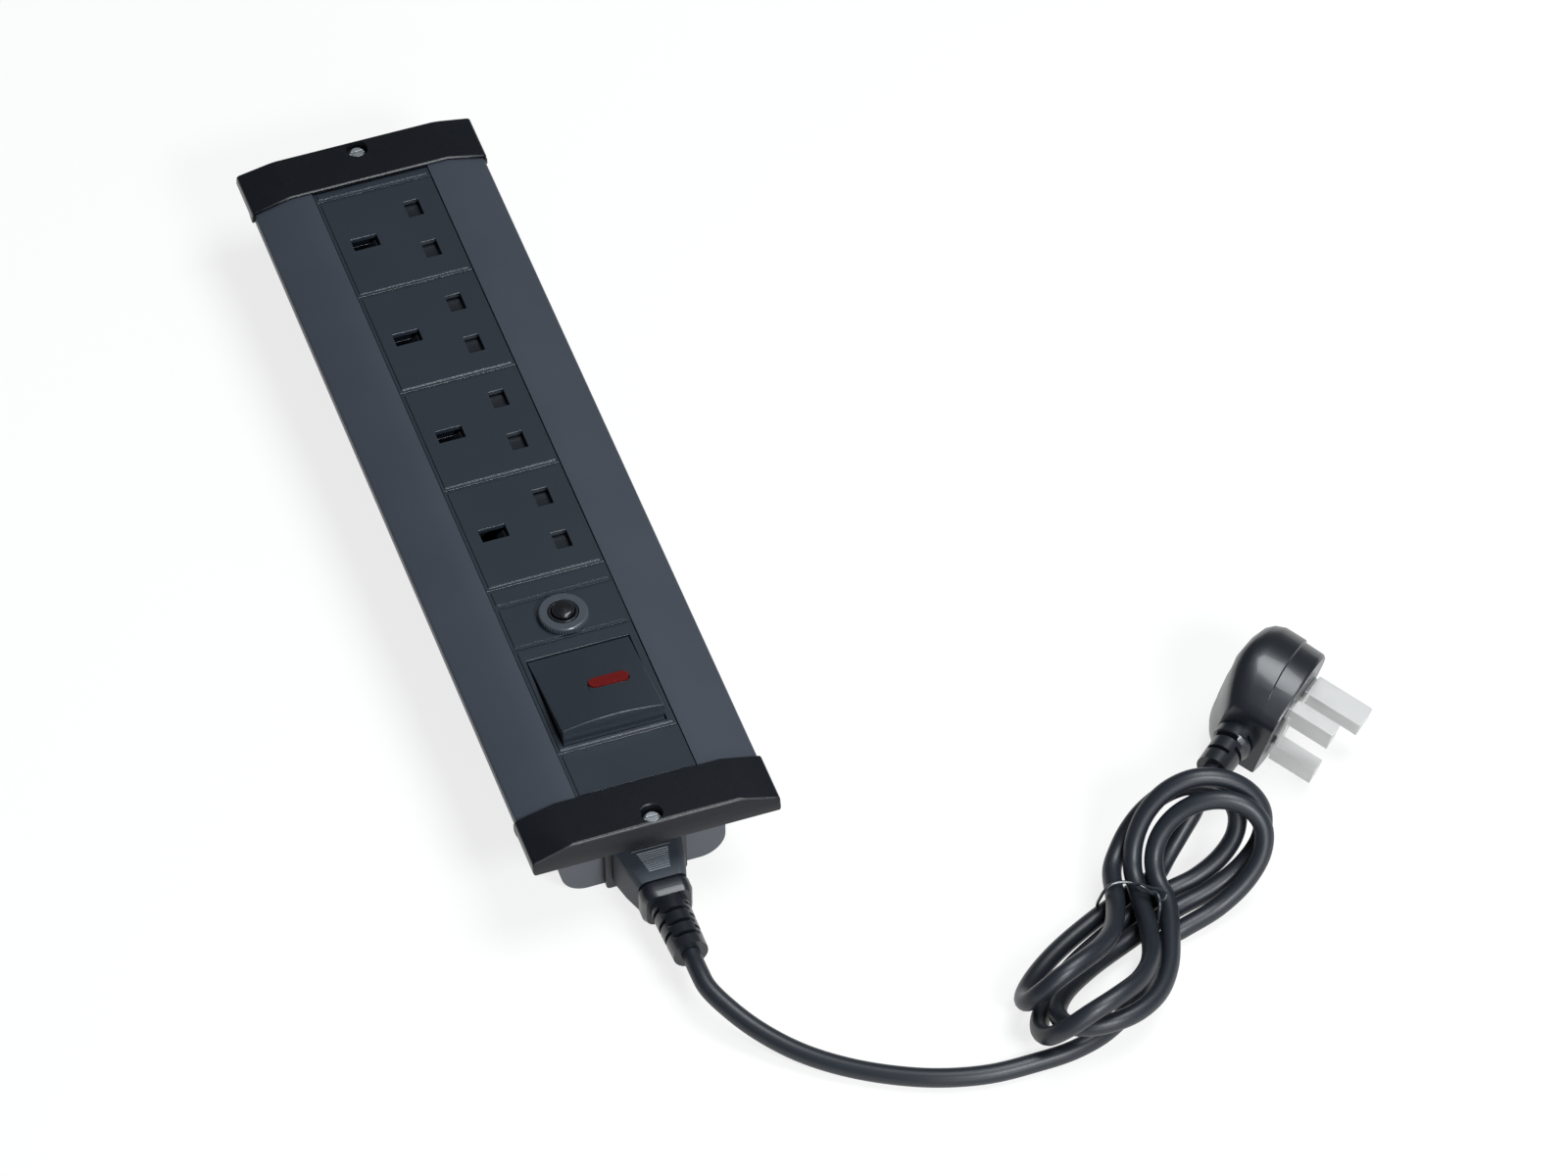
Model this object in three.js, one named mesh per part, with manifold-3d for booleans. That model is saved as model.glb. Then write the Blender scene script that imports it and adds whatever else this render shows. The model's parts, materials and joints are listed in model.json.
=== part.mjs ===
// A four-socket desk power strip with its mains lead: an extruded channel holding a row of clip-in
// modules, moulded end caps, an appliance inlet at one end and a coiled lead with a covered plug.
// Millimetres. X runs across the strip, Y along it (the inlet is at the -Y end) and Z is up.
// The origin is on the surface the strip lies on, in the middle of the strip.

import * as THREE from "three";
import { mergeVertices } from "three/addons/utils/BufferGeometryUtils.js";
import Module from "manifold-3d";

const wasm = await Module();
wasm.setup();

// General fits and finenesses
const CLEARANCE = 0.3;          // running and seating gap between neighbouring pieces
const OVERRUN = 1;              // how far a cut runs past the faces it opens
const WELD = 0.001;             // vertices closer than this are one
const ARC_STEPS = 6;            // facets in a small quarter-round
const ROUND_SIDES = 32;         // facets in a visible turned piece
const SMALL_ROUND_SIDES = 16;   // facets in a pin or a screw
const DEGREES = Math.PI / 180;

// Extruded housing
const HOUSING_RUN_ON = 2.75;    // how far the housing runs past the row of modules at each end
const HOUSING_WIDTH = 90.8;
const HOUSING_HEIGHT = 44;
const HOUSING_WALL = 1.8;
const CREASE_WIDTH = 62.2;      // between the creases where the flat bands turn down into wings
const WING_DROP = 4.1;
const WING_EDGE_RADIUS = 1;
const WING_LIP = 3.4;           // height of the outer edge of a wing
const WING_LIP_WALL = 1.6;
const TROUGH_WIDTH = 62;
const TROUGH_CORNER = 10;
const OPENING_WIDTH = 45.5;     // between the two rails that hold the modules
const RAIL_WALL = 1.8;
const RAIL_LEDGE = 1.45;        // how far the ledge under the modules reaches inwards
const RAIL_LEDGE_TOP = 39.7;
const RAIL_BOTTOM = 38;

// Row of modules, from the far end towards the inlet
const MODULE_SIDE_GAP = 0.25;   // between a module's face and the rail beside it
const MODULE_JOINT = 0.3;       // gap between one module and the next
const MODULE_TOP = 43.5;
const MODULE_RIM_DEPTH = 3.5;
const PANEL_RISE = 0.5;         // the face panel stands this much above its border
const PANEL_INSET = 1.3;
const ROW_LENGTH = 316.5;
const FILLER_LENGTH = 4.85;
const SOCKET_PITCH = 51.8;
const SOCKET_COUNT = 4;
const MIDDLE_FILLER_LENGTH = 9.1;
const BREAKER_PLATE_LENGTH = 21.1;
const SWITCH_LENGTH = 52;
const SHELL_WALL = 1.2;
const SHELL_END_GAP = 0.6;      // from the module's joint to its body's end wall
const CLIP_WIDTH = 10;
const CLIP_REACH = 1.2;
const CLIP_DEPTH = 2.7;
const CLIP_LEG = 1.1;

// Sockets, with the pins of a standard three-pin plug
const PIN_SPACING = 22.2;       // live to neutral
const EARTH_OFFSET = 22.3;      // from the line of those two to the earth pin
const EARTH_SLOT_X = -11.2;
const SLOT_CENTRE_SHIFT = 0.3;
const LINE_SLOT = [5.9, 8.3];   // size along X, then along Y
const EARTH_SLOT = [10.1, 6];
const FACE_THICKNESS = 2;
const SOCKET_FLOOR = 14;
const SOCKET_BASE_THICKNESS = 1.9;
const SHUTTER_THICKNESS = 2;
const SHUTTER_TRAVEL = 5.3;
const SHUTTER_LAP = 0.15;       // how far a closed shutter reaches past a slot's edge
const SHUTTER_STEM_WIDTH = 5.4;
const SHUTTER_RAMP_DEPTH = 5.2;
const PIN_THICKNESS = 4;
const LINE_PIN_WIDTH = 6.35;
const EARTH_PIN_WIDTH = 8;
const LINE_PIN_LENGTH = 17.7;
const EARTH_PIN_LENGTH = 22.7;

// Bus bars and their clips
const BUS_THICKNESS = 1.6;
const BUS_WIDTH = 3.5;
const LIVE_BUS_X = 16.85;
const NEUTRAL_BUS_X = 5.35;
const CONTACT_LEAF = 0.8;
const CONTACT_HEIGHT = 15;
const BUS_OVERHANG = 3;         // past the outermost clips

// Circuit breaker with its reset button
const BREAKER_Y = -74.3;
const BREAKER_BODY = [32, 14.5, 22];
const BUSH_DIAMETER = 11;
const BUSH_BORE = 9.2;
const BUSH_TOP = 46.9;
const NUT_DIAMETER = 18.6;
const NUT_THICKNESS = 2.4;
const NUT_TEETH = 54;
const NUT_TOOTH_DEPTH = 0.45;
const NUT_CHAMFER = 0.7;
const BUTTON_DIAMETER = 8.4;
const BUTTON_TOP = 49;
const BUTTON_DOME = 0.4;
const BUTTON_EDGE = 1.3;         // rounding between the side and the slightly domed top
const BUTTON_STEM_DIAMETER = 5;
const BUTTON_DEPTH = 12;
const BUTTON_TRAVEL = 3;
const TERMINAL_BLADE = [6.3, 0.8, 8];
const TERMINAL_SPACING = 18;

// Rocker switch
const ROCKER_BORDER = 3.4;      // of the module's face beside the rocker
const ROCKER_LENGTH = 40.6;
const ROCKER_Y = -111.5;
const ROCKER_AXIS_Z = 39.5;
const ROCKER_FAR_TOP = 43.6;
const ROCKER_NEAR_TOP = 50.4;
const ROCKER_CROWN = 2.2;
const ROCKER_WALL = 2;
const ROCKER_SKIRT_NEAR = 21.36;
const ROCKER_SKIRT_FAR = 20.8;
const ROCKER_SKIRT_DEPTH = 6;
const ROCKER_PIN_DIAMETER = 4;
const ROCKER_PIN_REACH = 1.2;
const SWITCH_SIDE_GAP = 0.5;
const SWITCH_FLOOR = 20;
const SWITCH_WALL = 1.4;
const LENS_LENGTH = 15;
const LENS_WIDTH = 5;
const LENS_RISE = 0.5;
const LENS_DEPTH = 3.4;
const LENS_X = 4.7;
const LENS_Y = -112.1;

// End caps and the plates that close the trough
const CAP_SIDE_OVERHANG = 0.9;  // past each side of the housing
const CAP_RISE = 1.6;           // above the housing's flat bands
const CAP_OVERHANG = 17.65;     // top edge of the end face, past the extrusion
const CAP_SLANT = 2.1;          // bottom edge of the end face, past its top edge
const CAP_EDGE_RADIUS = 1.2;
const CAP_WALL = 2;
const CAP_SCREW_INSET = 4.25;   // from the top edge of the end face
const CAP_SCREW_BOSS = 12;
const CAP_SCREW_RECESS = 8;
const CAP_SCREW_SEAT = 41;
const SCREW_HEAD_DIAMETER = 6.6;
const SCREW_HEAD_HEIGHT = 2.4;
const SCREW_SHANK = 3.2;
const SCREW_TIP = 34;
const SCREW_SLOT = [0.9, 1];
const SCREW_CROWN_SHARE = 0.7;  // flat top of the head, of its diameter
const END_PLATE = 1.7;
const END_TAB_TOP = 38.5;
const END_TAB_WIDTH = 18;
const END_TAB_INSET = 0.65;     // from the same edge

// Appliance inlet in the near end plate
const INLET_Z = 13;
const INLET_FLANGE = [30.5, 25, 3];
const INLET_BODY = [27.2, 19.4];
const INLET_DEPTH = 22;
const INLET_CORNER = 2;
const INLET_FLANGE_CORNER = 1.5;
const COUPLER_NOSE = [24, 16];  // the part of the connector that goes in
const COUPLER_NOSE_CHAMFER = 4.5;
const COUPLER_NOSE_LENGTH = 16.5;
const COUPLER_PIN = [2, 4];
const COUPLER_PIN_LENGTH = 14;
const COUPLER_PIN_SPACING = 14;
const COUPLER_EARTH_RISE = 4;
const COUPLER_PIN_TAIL = 8;

// Lead connector
const CONNECTOR_RIM = [25.4, 20, 1.2];
const CONNECTOR_END = [18, 17];
const CONNECTOR_TAPER = 18;
const CONNECTOR_CORNER = 3.2;
const COLLAR = [19, 17, 7];
const COLLAR_CORNER = 4.5;
const RELIEF_LENGTH = 24;
const RELIEF_ROOT = 14.5;
const RELIEF_TIP = 13;
const RELIEF_RISE = 1.6;        // the strain relief points slightly upwards
const RELIEF_SLOT = 1.7;
const RELIEF_SLOT_DEPTH = 2.5;
const RELIEF_SLOTS = 3;
const RELIEF_SIDES = 24;

// Cord
const CORD_DIAMETER = 7;
const CORD_SIDES = 10;
const CORD_STEP = 16;
const CORD_RUN_ROUTE = [        // from the connector along the table to the hank
  [0, -224.2, 14.6], [0.8, -231.3, 13.6], [5.7, -241.3, 11], [13, -251.7, 8],
  [23.6, -263.1, 5.4], [36.4, -273.4, 4.1], [51.4, -282.6, 3.7], [67.1, -289.6, 3.7],
  [83.9, -293.7, 3.7], [100.1, -294.3, 3.7], [115.1, -293.5, 3.7], [129, -289.5, 3.7],
  [142, -281, 3.7], [152, -270, 4],
];
const CORD_TAIL_ROUTE = [       // from the hank up to the plug
  [175.5, -227.5, 12.5], [183, -222.5, 18], [188.6, -218.6, 22],
];

// The wound part of the lead: a figure of eight, tied at its waist. Each turn starts below the
// waist, goes round the upper loop, crosses above the waist and comes back round the lower loop.
const HANK_CENTRE = [163.7, -241.7];
const HANK_HEADING = 32.4 * DEGREES;
const HANK_STEPS = 24;          // to a turn
const HANK_SIDES = 6;
const HANK_LOW = 5.4;           // height of the strands below the waist
const HANK_HIGH = 13.2;         // and of those above it
const HANK_STEEP_SHARE = 2.2;
const HANK_TURNS = [
  {
    below: [-1.8, -15.7], above: [-0.1, -7.1],
    upper: { reach: 35.6, lean: -10.3, spread: 12.5, shift: 4.4, lift: 26.4, tilt: -2.2 },
    lower: { reach: 67.6, lean: -9.9, spread: 14.3, shift: 13.7, curl: -0.4, lift: 7.6, tilt: -2.0 },
  },
  {
    below: [3.0, -8.0], above: [-2.2, 4.5],
    upper: { reach: 39.9, lean: -10.6, spread: 12.1, shift: 0.4, lift: 28.7, tilt: 2.9 },
    lower: { reach: 76.5, lean: -12.3, spread: 16.1, shift: 20.4, curl: -2.0, lift: 12.2, tilt: 8.3 },
  },
  {
    below: [7.7, -1.0], above: [-0.7, 16.8],
    upper: { reach: 35.3, lean: -5.2, spread: 8.2, shift: -4.5, lift: 22.3, tilt: -0.4 },
    lower: { reach: 68.7, lean: -9.4, spread: 12.7, shift: 14.3, curl: -1.3, lift: 13.0, tilt: 8.4 },
  },
];
const HANK_END = [4.4, 7.7];

// Wire tie round the waist
const TIE_DIAMETER = 1.2;
const TIE_SIDES = 6;
const TIE_STEP = 2.5;
const TIE_ROUTE = [             // along the hank, across it, and up
  [-3.5, -11.5, 23], [-2.2, -7.5, 20.2], [-2.4, -2, 19], [-4.4, 4, 18.7],
  [-7.4, 10, 18.8], [-9.2, 14.2, 17.5], [-9.9, 16.6, 13.5], [-9.8, 16.6, 8.5],
  [-9.2, 15, 3.2], [-7.6, 11, 0.75], [-4.2, 3, 0.75], [-0.2, -8, 0.75],
  [2.6, -16, 0.75], [4.4, -21.2, 1.2], [5.2, -23.2, 5.5], [4.5, -21.4, 10.5],
  [3, -15.6, 15.4], [1.8, -10.5, 18.9], [0.8, -6, 21.1], [3.5, -8.5, 23.2],
];

// Plug
const PLUG_PLACE = [231, -194.6, 24.3];
const PLUG_HEADING = 41 * DEGREES;
const PLUG_LEAN = 104.9 * DEGREES;
const PLUG_ROLL = -2 * DEGREES;
const PLUG_HEEL = -14;          // from the line-pin centre to the flat end the cord leaves
const PLUG_TOE = 32;            // to the earth end
const PLUG_WIDTH = 48;
const PLUG_HEEL_WIDTH = 27.4;
const PLUG_TOE_WIDTH = 24;
const PLUG_DEPTH = 26.5;
const PLUG_HEEL_DEPTH = 18.5;
const PLUG_WIDEST = 9;
const PLUG_RELIEF_DEPTH = 11;
const PLUG_RELIEF_LENGTH = 19;
const PLUG_RELIEF_ROOT = 15;
const PLUG_RELIEF_TIP = 12.6;
const PLUG_RELIEF_SLOTS = 2;    // in each of four ranks
const PLUG_RANK_TURN = 65;      // degrees from the plug's side to its first rank of slots
const PLUG_PIN_ROOT = 8;
const FUSE_CARRIER = [9, 29, 2.4];
const FUSE_CARRIER_U = 10.2;
const FUSE = [6.3, 25.4];
const COVER_STANDOFF = 1.2;
const COVER_WEB = 1;
const COVER_WALL = 0.6;
const COVER_WEB_WIDTH = 7;

// Materials

function finish(color, roughness, metalness = 0) {
  return new THREE.MeshStandardMaterial({ color, roughness, metalness });
}
const painted = finish("#3f444b", 0.45, 0.2);
const capPlastic = finish("#14171c", 0.7);
const platePaint = finish("#55565b", 0.5, 0.3);
const modulePlastic = finish("#2e363c", 0.4);
const innerPlastic = finish("#e3e0d8", 0.6);
const blackPlastic = finish("#24282d", 0.35);
const lensRed = finish("#7a1a14", 0.3);
const steel = finish("#8b8d90", 0.35, 1);
const darkSteel = finish("#303236", 0.4, 1);
const brass = finish("#c9a24a", 0.3, 1);
const cordRubber = finish("#30353b", 0.3);
const clearCover = finish("#c8c8cc", 0.3);
const ceramic = finish("#e9e6dd", 0.5);

// Solids

function solidOf(geometry) {
  const bare = geometry.clone();
  bare.deleteAttribute("normal");
  bare.deleteAttribute("uv");
  const merged = mergeVertices(bare, WELD);
  return new wasm.Manifold(new wasm.Mesh({
    numProp: 3,
    vertProperties: new Float32Array(merged.attributes.position.array),
    triVerts: new Uint32Array(merged.index.array),
  }));
}

function geometryOf(solid) {
  const made = solid.getMesh();
  const geometry = new THREE.BufferGeometry();
  geometry.setAttribute("position", new THREE.BufferAttribute(new Float32Array(made.vertProperties), 3));
  geometry.setIndex(new THREE.BufferAttribute(new Uint32Array(made.triVerts), 1));
  geometry.computeVertexNormals();
  return geometry;
}

function join(...parts) {
  return parts.reduce((whole, part) => whole.add(part));
}

function cut(body, ...tools) {
  return tools.reduce((whole, tool) => whole.subtract(tool), body);
}

// A straight prism of a shape drawn in XY, from z0 to z1.
function prismZ(shape, z0, z1) {
  const geometry = new THREE.ExtrudeGeometry(shape, {
    depth: z1 - z0,
    bevelEnabled: false,
    curveSegments: ARC_STEPS,
  });
  return geometry.translate(0, 0, z0);
}

// A prism of a shape drawn in XZ, from y0 to y1.
function prismY(shape, y0, y1) {
  return prismZ(shape, -y1, -y0).rotateX(Math.PI / 2);
}

// A prism of a shape drawn in YZ, from x0 to x1.
function prismX(shape, x0, x1) {
  const turn = new THREE.Matrix4().makeBasis(
    new THREE.Vector3(0, 1, 0), new THREE.Vector3(0, 0, 1), new THREE.Vector3(1, 0, 0));
  return prismZ(shape, x0, x1).applyMatrix4(turn);
}

function polygon(points) {
  return new THREE.Shape(points.map(([a, b]) => new THREE.Vector2(a, b)));
}

function rectangle(a0, b0, a1, b1) {
  return polygon([[a0, b0], [a1, b0], [a1, b1], [a0, b1]]);
}

function roundedRectangle(width, height, radius, a = 0, b = 0) {
  const shape = new THREE.Shape();
  const right = a + width / 2;
  const left = a - width / 2;
  const top = b + height / 2;
  const bottom = b - height / 2;
  shape.moveTo(left + radius, bottom);
  shape.lineTo(right - radius, bottom);
  shape.absarc(right - radius, bottom + radius, radius, -Math.PI / 2, 0, false);
  shape.lineTo(right, top - radius);
  shape.absarc(right - radius, top - radius, radius, 0, Math.PI / 2, false);
  shape.lineTo(left + radius, top);
  shape.absarc(left + radius, top - radius, radius, Math.PI / 2, Math.PI, false);
  shape.lineTo(left, bottom + radius);
  shape.absarc(left + radius, bottom + radius, radius, Math.PI, 1.5 * Math.PI, false);
  return shape;
}

function circle(radius, a = 0, b = 0) {
  return new THREE.Shape().absarc(a, b, radius, 0, 2 * Math.PI, false);
}

// A block between two opposite corners.
function block(low, high) {
  const size = high.map((value, i) => value - low[i]);
  const geometry = new THREE.BoxGeometry(...size);
  return solidOf(geometry.translate(...low.map((value, i) => value + size[i] / 2)));
}

// A turned solid standing on Z: profile points are [radius, height].
function turned(profile, sides = ROUND_SIDES) {
  const points = profile.map(([r, z]) => new THREE.Vector2(r, z));
  return solidOf(new THREE.LatheGeometry(points, sides).rotateX(Math.PI / 2));
}

function rod(radius, z0, z1, x, y, sides = SMALL_ROUND_SIDES) {
  return turned([[0, z0], [radius, z0], [radius, z1], [0, z1]], sides).translate([x, y, 0]);
}

// A closed skin through rings of points, each ring with as many points as the next.
function loft(rings) {
  const count = rings[0].length;
  const positions = rings.flat().flatMap((p) => [p.x, p.y, p.z]);
  const index = [];
  for (let i = 0; i < rings.length - 1; i += 1) {
    for (let j = 0; j < count; j += 1) {
      const a = i * count + j;
      const b = i * count + ((j + 1) % count);
      index.push(a, b, a + count, b, b + count, a + count);
    }
  }
  [0, rings.length - 1].forEach((ring, side) => {
    const middle = rings[ring].reduce((sum, p) => sum.clone().add(p), new THREE.Vector3());
    middle.divideScalar(count);
    const hub = positions.length / 3;
    positions.push(middle.x, middle.y, middle.z);
    for (let j = 0; j < count; j += 1) {
      const a = ring * count + j;
      const b = ring * count + ((j + 1) % count);
      index.push(...(side ? [hub, a, b] : [hub, b, a]));
    }
  });
  const geometry = new THREE.BufferGeometry();
  geometry.setAttribute("position", new THREE.Float32BufferAttribute(positions, 3));
  geometry.setIndex(index);
  if (signedVolume(geometry) < 0) {
    const flipped = [];
    for (let i = 0; i < index.length; i += 3) flipped.push(index[i], index[i + 2], index[i + 1]);
    geometry.setIndex(flipped);
  }
  return solidOf(geometry);
}

function signedVolume(geometry) {
  const position = geometry.getAttribute("position");
  const index = geometry.getIndex().array;
  const corner = (i) => new THREE.Vector3().fromBufferAttribute(position, index[i]);
  let sum = 0;
  for (let i = 0; i < index.length; i += 3) {
    sum += corner(i).dot(corner(i + 1).clone().cross(corner(i + 2)));
  }
  return sum;
}

// Evenly spaced points round a shape, as rings for a loft.
function ringOf(shape, count, place) {
  return shape.getSpacedPoints(count).slice(0, count).map((p) => place(p.x, p.y));
}

const power_strip = new THREE.Group();

function add(name, solid, material, group = power_strip) {
  const mesh = new THREE.Mesh(geometryOf(solid), material);
  mesh.name = name;
  group.add(mesh);
  return mesh;
}

// Housing

const housingEndY = ROW_LENGTH / 2 + HOUSING_RUN_ON;
const creaseX = CREASE_WIDTH / 2;
const wingX = HOUSING_WIDTH / 2;
const wingTop = HOUSING_HEIGHT - WING_DROP;
const wingBottom = wingTop - WING_LIP;
const troughX = TROUGH_WIDTH / 2;
const openingX = OPENING_WIDTH / 2;
const moduleX = openingX - MODULE_SIDE_GAP;
const wingSlope = WING_DROP / (wingX - creaseX);

// Right half of the section, from the opening over the wing and down to the middle of the trough.
function outerHalf() {
  const corner = TROUGH_CORNER;
  const path = new THREE.Path();
  path.moveTo(openingX, HOUSING_HEIGHT);
  path.lineTo(creaseX, HOUSING_HEIGHT);
  path.lineTo(wingX - WING_EDGE_RADIUS, wingTop + wingSlope * WING_EDGE_RADIUS);
  path.quadraticCurveTo(wingX, wingTop, wingX, wingTop - WING_EDGE_RADIUS);
  path.lineTo(wingX, wingBottom);
  const lipX = wingX - WING_LIP_WALL;
  path.lineTo(lipX, wingBottom);
  path.lineTo(lipX, wingTop + wingSlope * WING_LIP_WALL - HOUSING_WALL);
  path.lineTo(creaseX, HOUSING_HEIGHT - HOUSING_WALL);
  path.lineTo(troughX, HOUSING_HEIGHT - HOUSING_WALL);
  path.lineTo(troughX, corner);
  path.absarc(troughX - corner, corner, corner, 0, -Math.PI / 2, true);
  return path.getPoints(ARC_STEPS);
}

// The inner side, from the middle of the trough up the wall and round the module rail.
function innerHalf() {
  const radius = TROUGH_CORNER - HOUSING_WALL;
  const wallX = troughX - HOUSING_WALL;
  const railX = openingX + RAIL_WALL;
  const ledgeX = openingX - RAIL_LEDGE;
  const path = new THREE.Path();
  path.moveTo(wallX - radius, HOUSING_WALL);
  path.absarc(wallX - radius, TROUGH_CORNER, radius, -Math.PI / 2, 0, false);
  path.lineTo(wallX, HOUSING_HEIGHT - HOUSING_WALL);
  path.lineTo(railX, HOUSING_HEIGHT - HOUSING_WALL);
  path.lineTo(railX, RAIL_BOTTOM);
  path.lineTo(ledgeX, RAIL_BOTTOM);
  path.lineTo(ledgeX, RAIL_LEDGE_TOP);
  path.lineTo(openingX, RAIL_LEDGE_TOP);
  return path.getPoints(ARC_STEPS);
}

function mirrored(points) {
  return points.map((p) => new THREE.Vector2(-p.x, p.y)).reverse();
}

function housingSection() {
  const outer = outerHalf();
  const inner = innerHalf();
  return new THREE.Shape([...outer, ...mirrored(outer), ...mirrored(inner), ...inner]);
}

function housing() {
  return solidOf(prismY(housingSection(), -housingEndY, housingEndY));
}

// End plates: a plate that closes the trough, with a tab turned outwards under the cap.

const plateInnerY = housingEndY + CLEARANCE;
const plateOuterY = plateInnerY + END_PLATE;
const capWidth = HOUSING_WIDTH + 2 * CAP_SIDE_OVERHANG;
const capTopReach = housingEndY + CAP_OVERHANG;
const capBottomReach = capTopReach + CAP_SLANT;
const capScrewY = capTopReach - CAP_SCREW_INSET;
const endTabReach = capTopReach - END_TAB_INSET;

function endPlate() {
  const face = roundedRectangle(TROUGH_WIDTH, 2 * END_TAB_TOP, TROUGH_CORNER, 0, END_TAB_TOP);
  const keep = block([-troughX, plateInnerY - OVERRUN, 0], [troughX, plateOuterY + OVERRUN, END_TAB_TOP]);
  const sheet = solidOf(prismY(face, plateInnerY, plateOuterY)).intersect(keep);
  const half = END_TAB_WIDTH / 2;
  const tab = block([-half, plateInnerY, END_TAB_TOP - END_PLATE], [half, endTabReach, END_TAB_TOP]);
  const hole = rod(SCREW_SHANK / 2 + CLEARANCE, END_TAB_TOP - END_PLATE - OVERRUN,
    END_TAB_TOP + OVERRUN, 0, capScrewY);
  return cut(join(sheet, tab), hole);
}

// Caps

const capTop = HOUSING_HEIGHT + CAP_RISE;
const rowEnd = ROW_LENGTH / 2;

function capRoof(inset) {
  const half = capWidth / 2 - inset;
  const top = capTop - inset;
  const edge = wingTop + CAP_RISE - inset;
  const round = Math.max(CAP_EDGE_RADIUS - inset, WELD);
  const slope = (top - edge) / (half - creaseX);
  const path = new THREE.Path();
  path.moveTo(0, top);
  path.lineTo(creaseX, top);
  path.lineTo(half - round, edge + slope * round);
  path.quadraticCurveTo(half, edge, half, edge - round);
  path.lineTo(half, inset ? wingBottom - OVERRUN : wingBottom);
  const right = path.getPoints(ARC_STEPS);
  return new THREE.Shape([...right, ...mirrored(right.slice(1))]);
}

// Side view of the leaning end face, for the end at +Y.
function capSide(inset) {
  const lean = (capBottomReach - capTopReach) / (capTop - wingBottom);
  const path = new THREE.Path();
  const reach = (z) => capTopReach + lean * (capTop - z) - inset;
  const top = capTop + (inset ? OVERRUN : 0);
  const low = wingBottom - (inset ? OVERRUN : 0);
  const round = inset ? WELD : CAP_EDGE_RADIUS;
  path.moveTo(rowEnd - (inset ? OVERRUN : 0), low);
  path.lineTo(reach(low), low);
  path.lineTo(reach(capTop - round), capTop - round);
  path.quadraticCurveTo(reach(capTop), capTop, reach(capTop) - round, top);
  path.lineTo(rowEnd - (inset ? OVERRUN : 0), top);
  return new THREE.Shape(path.getPoints(ARC_STEPS));
}

function endCap() {
  const ends = capWidth;
  const outside = solidOf(prismY(capRoof(0), 0, capBottomReach + OVERRUN))
    .intersect(solidOf(prismX(capSide(0), -ends, ends)));
  const lapY = plateInnerY;
  const seat = solidOf(prismY(capSeat(), rowEnd - OVERRUN, lapY));
  const hollow = solidOf(prismY(capRoof(CAP_WALL), lapY - OVERRUN, capBottomReach + OVERRUN))
    .intersect(solidOf(prismX(capSide(CAP_WALL), -ends, ends)))
    .intersect(block([-ends, lapY - WELD, 0], [ends, capBottomReach, capTop]));
  const bossBottom = END_TAB_TOP + CLEARANCE;
  const boss = rod(CAP_SCREW_BOSS / 2, bossBottom, capTop, 0, capScrewY, ROUND_SIDES);
  const recess = rod(CAP_SCREW_RECESS / 2, CAP_SCREW_SEAT, capTop + OVERRUN, 0, capScrewY, ROUND_SIDES);
  const hole = rod(SCREW_SHANK / 2 + CLEARANCE, bossBottom - OVERRUN, CAP_SCREW_SEAT + OVERRUN, 0, capScrewY);
  return cut(outside, seat, cut(hollow, boss), recess, hole);
}

// The housing's outline with the fit clearance, which the cap's inner end slides over.
function capSeat() {
  const half = wingX + CLEARANCE;
  const top = HOUSING_HEIGHT + CLEARANCE;
  const edge = wingTop + CLEARANCE;
  const right = [[creaseX, top], [half, edge], [half, wingBottom - OVERRUN]];
  return polygon([...right, ...right.map(([x, z]) => [-x, z]).reverse()]);
}

function capScrew() {
  const seat = CAP_SCREW_SEAT + CLEARANCE;
  const top = seat + SCREW_HEAD_HEIGHT;
  const head = SCREW_HEAD_DIAMETER / 2;
  const shank = SCREW_SHANK / 2;
  const body = turned([[0, SCREW_TIP], [shank, SCREW_TIP + shank], [shank, seat], [head, seat],
    [head, top - SCREW_HEAD_HEIGHT / 2], [head * SCREW_CROWN_SHARE, top], [0, top]], SMALL_ROUND_SIDES);
  const slot = block([-head - OVERRUN, -SCREW_SLOT[0] / 2, top - SCREW_SLOT[1]],
    [head + OVERRUN, SCREW_SLOT[0] / 2, top + OVERRUN]);
  return cut(body, slot).translate([0, capScrewY, 0]);
}

// Modules

const rimBottom = MODULE_TOP - MODULE_RIM_DEPTH;
const panelTop = MODULE_TOP + PANEL_RISE;
const faceUnder = panelTop - FACE_THICKNESS;
const shellX = openingX - RAIL_LEDGE - CLEARANCE;
const clipTop = RAIL_BOTTOM - CLEARANCE;
const clipBottom = clipTop - CLIP_DEPTH;

// The face of a module between y0 and y1: a border with a slightly raised panel.
function moduleFace(y0, y1) {
  const low = y0 + MODULE_JOINT / 2;
  const high = y1 - MODULE_JOINT / 2;
  const border = block([-moduleX, low, rimBottom], [moduleX, high, MODULE_TOP]);
  const inset = Math.min(PANEL_INSET, (high - low) / 4);
  const panel = block([inset - moduleX, low + inset, rimBottom], [moduleX - inset, high - inset, panelTop]);
  return join(border, panel);
}

// Clips on both sides that hook under the rail's ledge, at mid length.
function clips(y, width) {
  const hook = [[shellX - CLIP_LEG, clipTop], [shellX + CLIP_REACH, clipTop], [shellX, clipBottom],
    [shellX - CLIP_LEG, clipBottom]];
  const leg = rectangle(shellX - CLIP_LEG, clipBottom, shellX, faceUnder);
  const right = join(solidOf(prismY(polygon(hook), y - width / 2, y + width / 2)),
    solidOf(prismY(leg, y - width / 2, y + width / 2)));
  return join(right, right.rotate([0, 0, 180]).translate([0, 2 * y, 0]));
}

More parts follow.
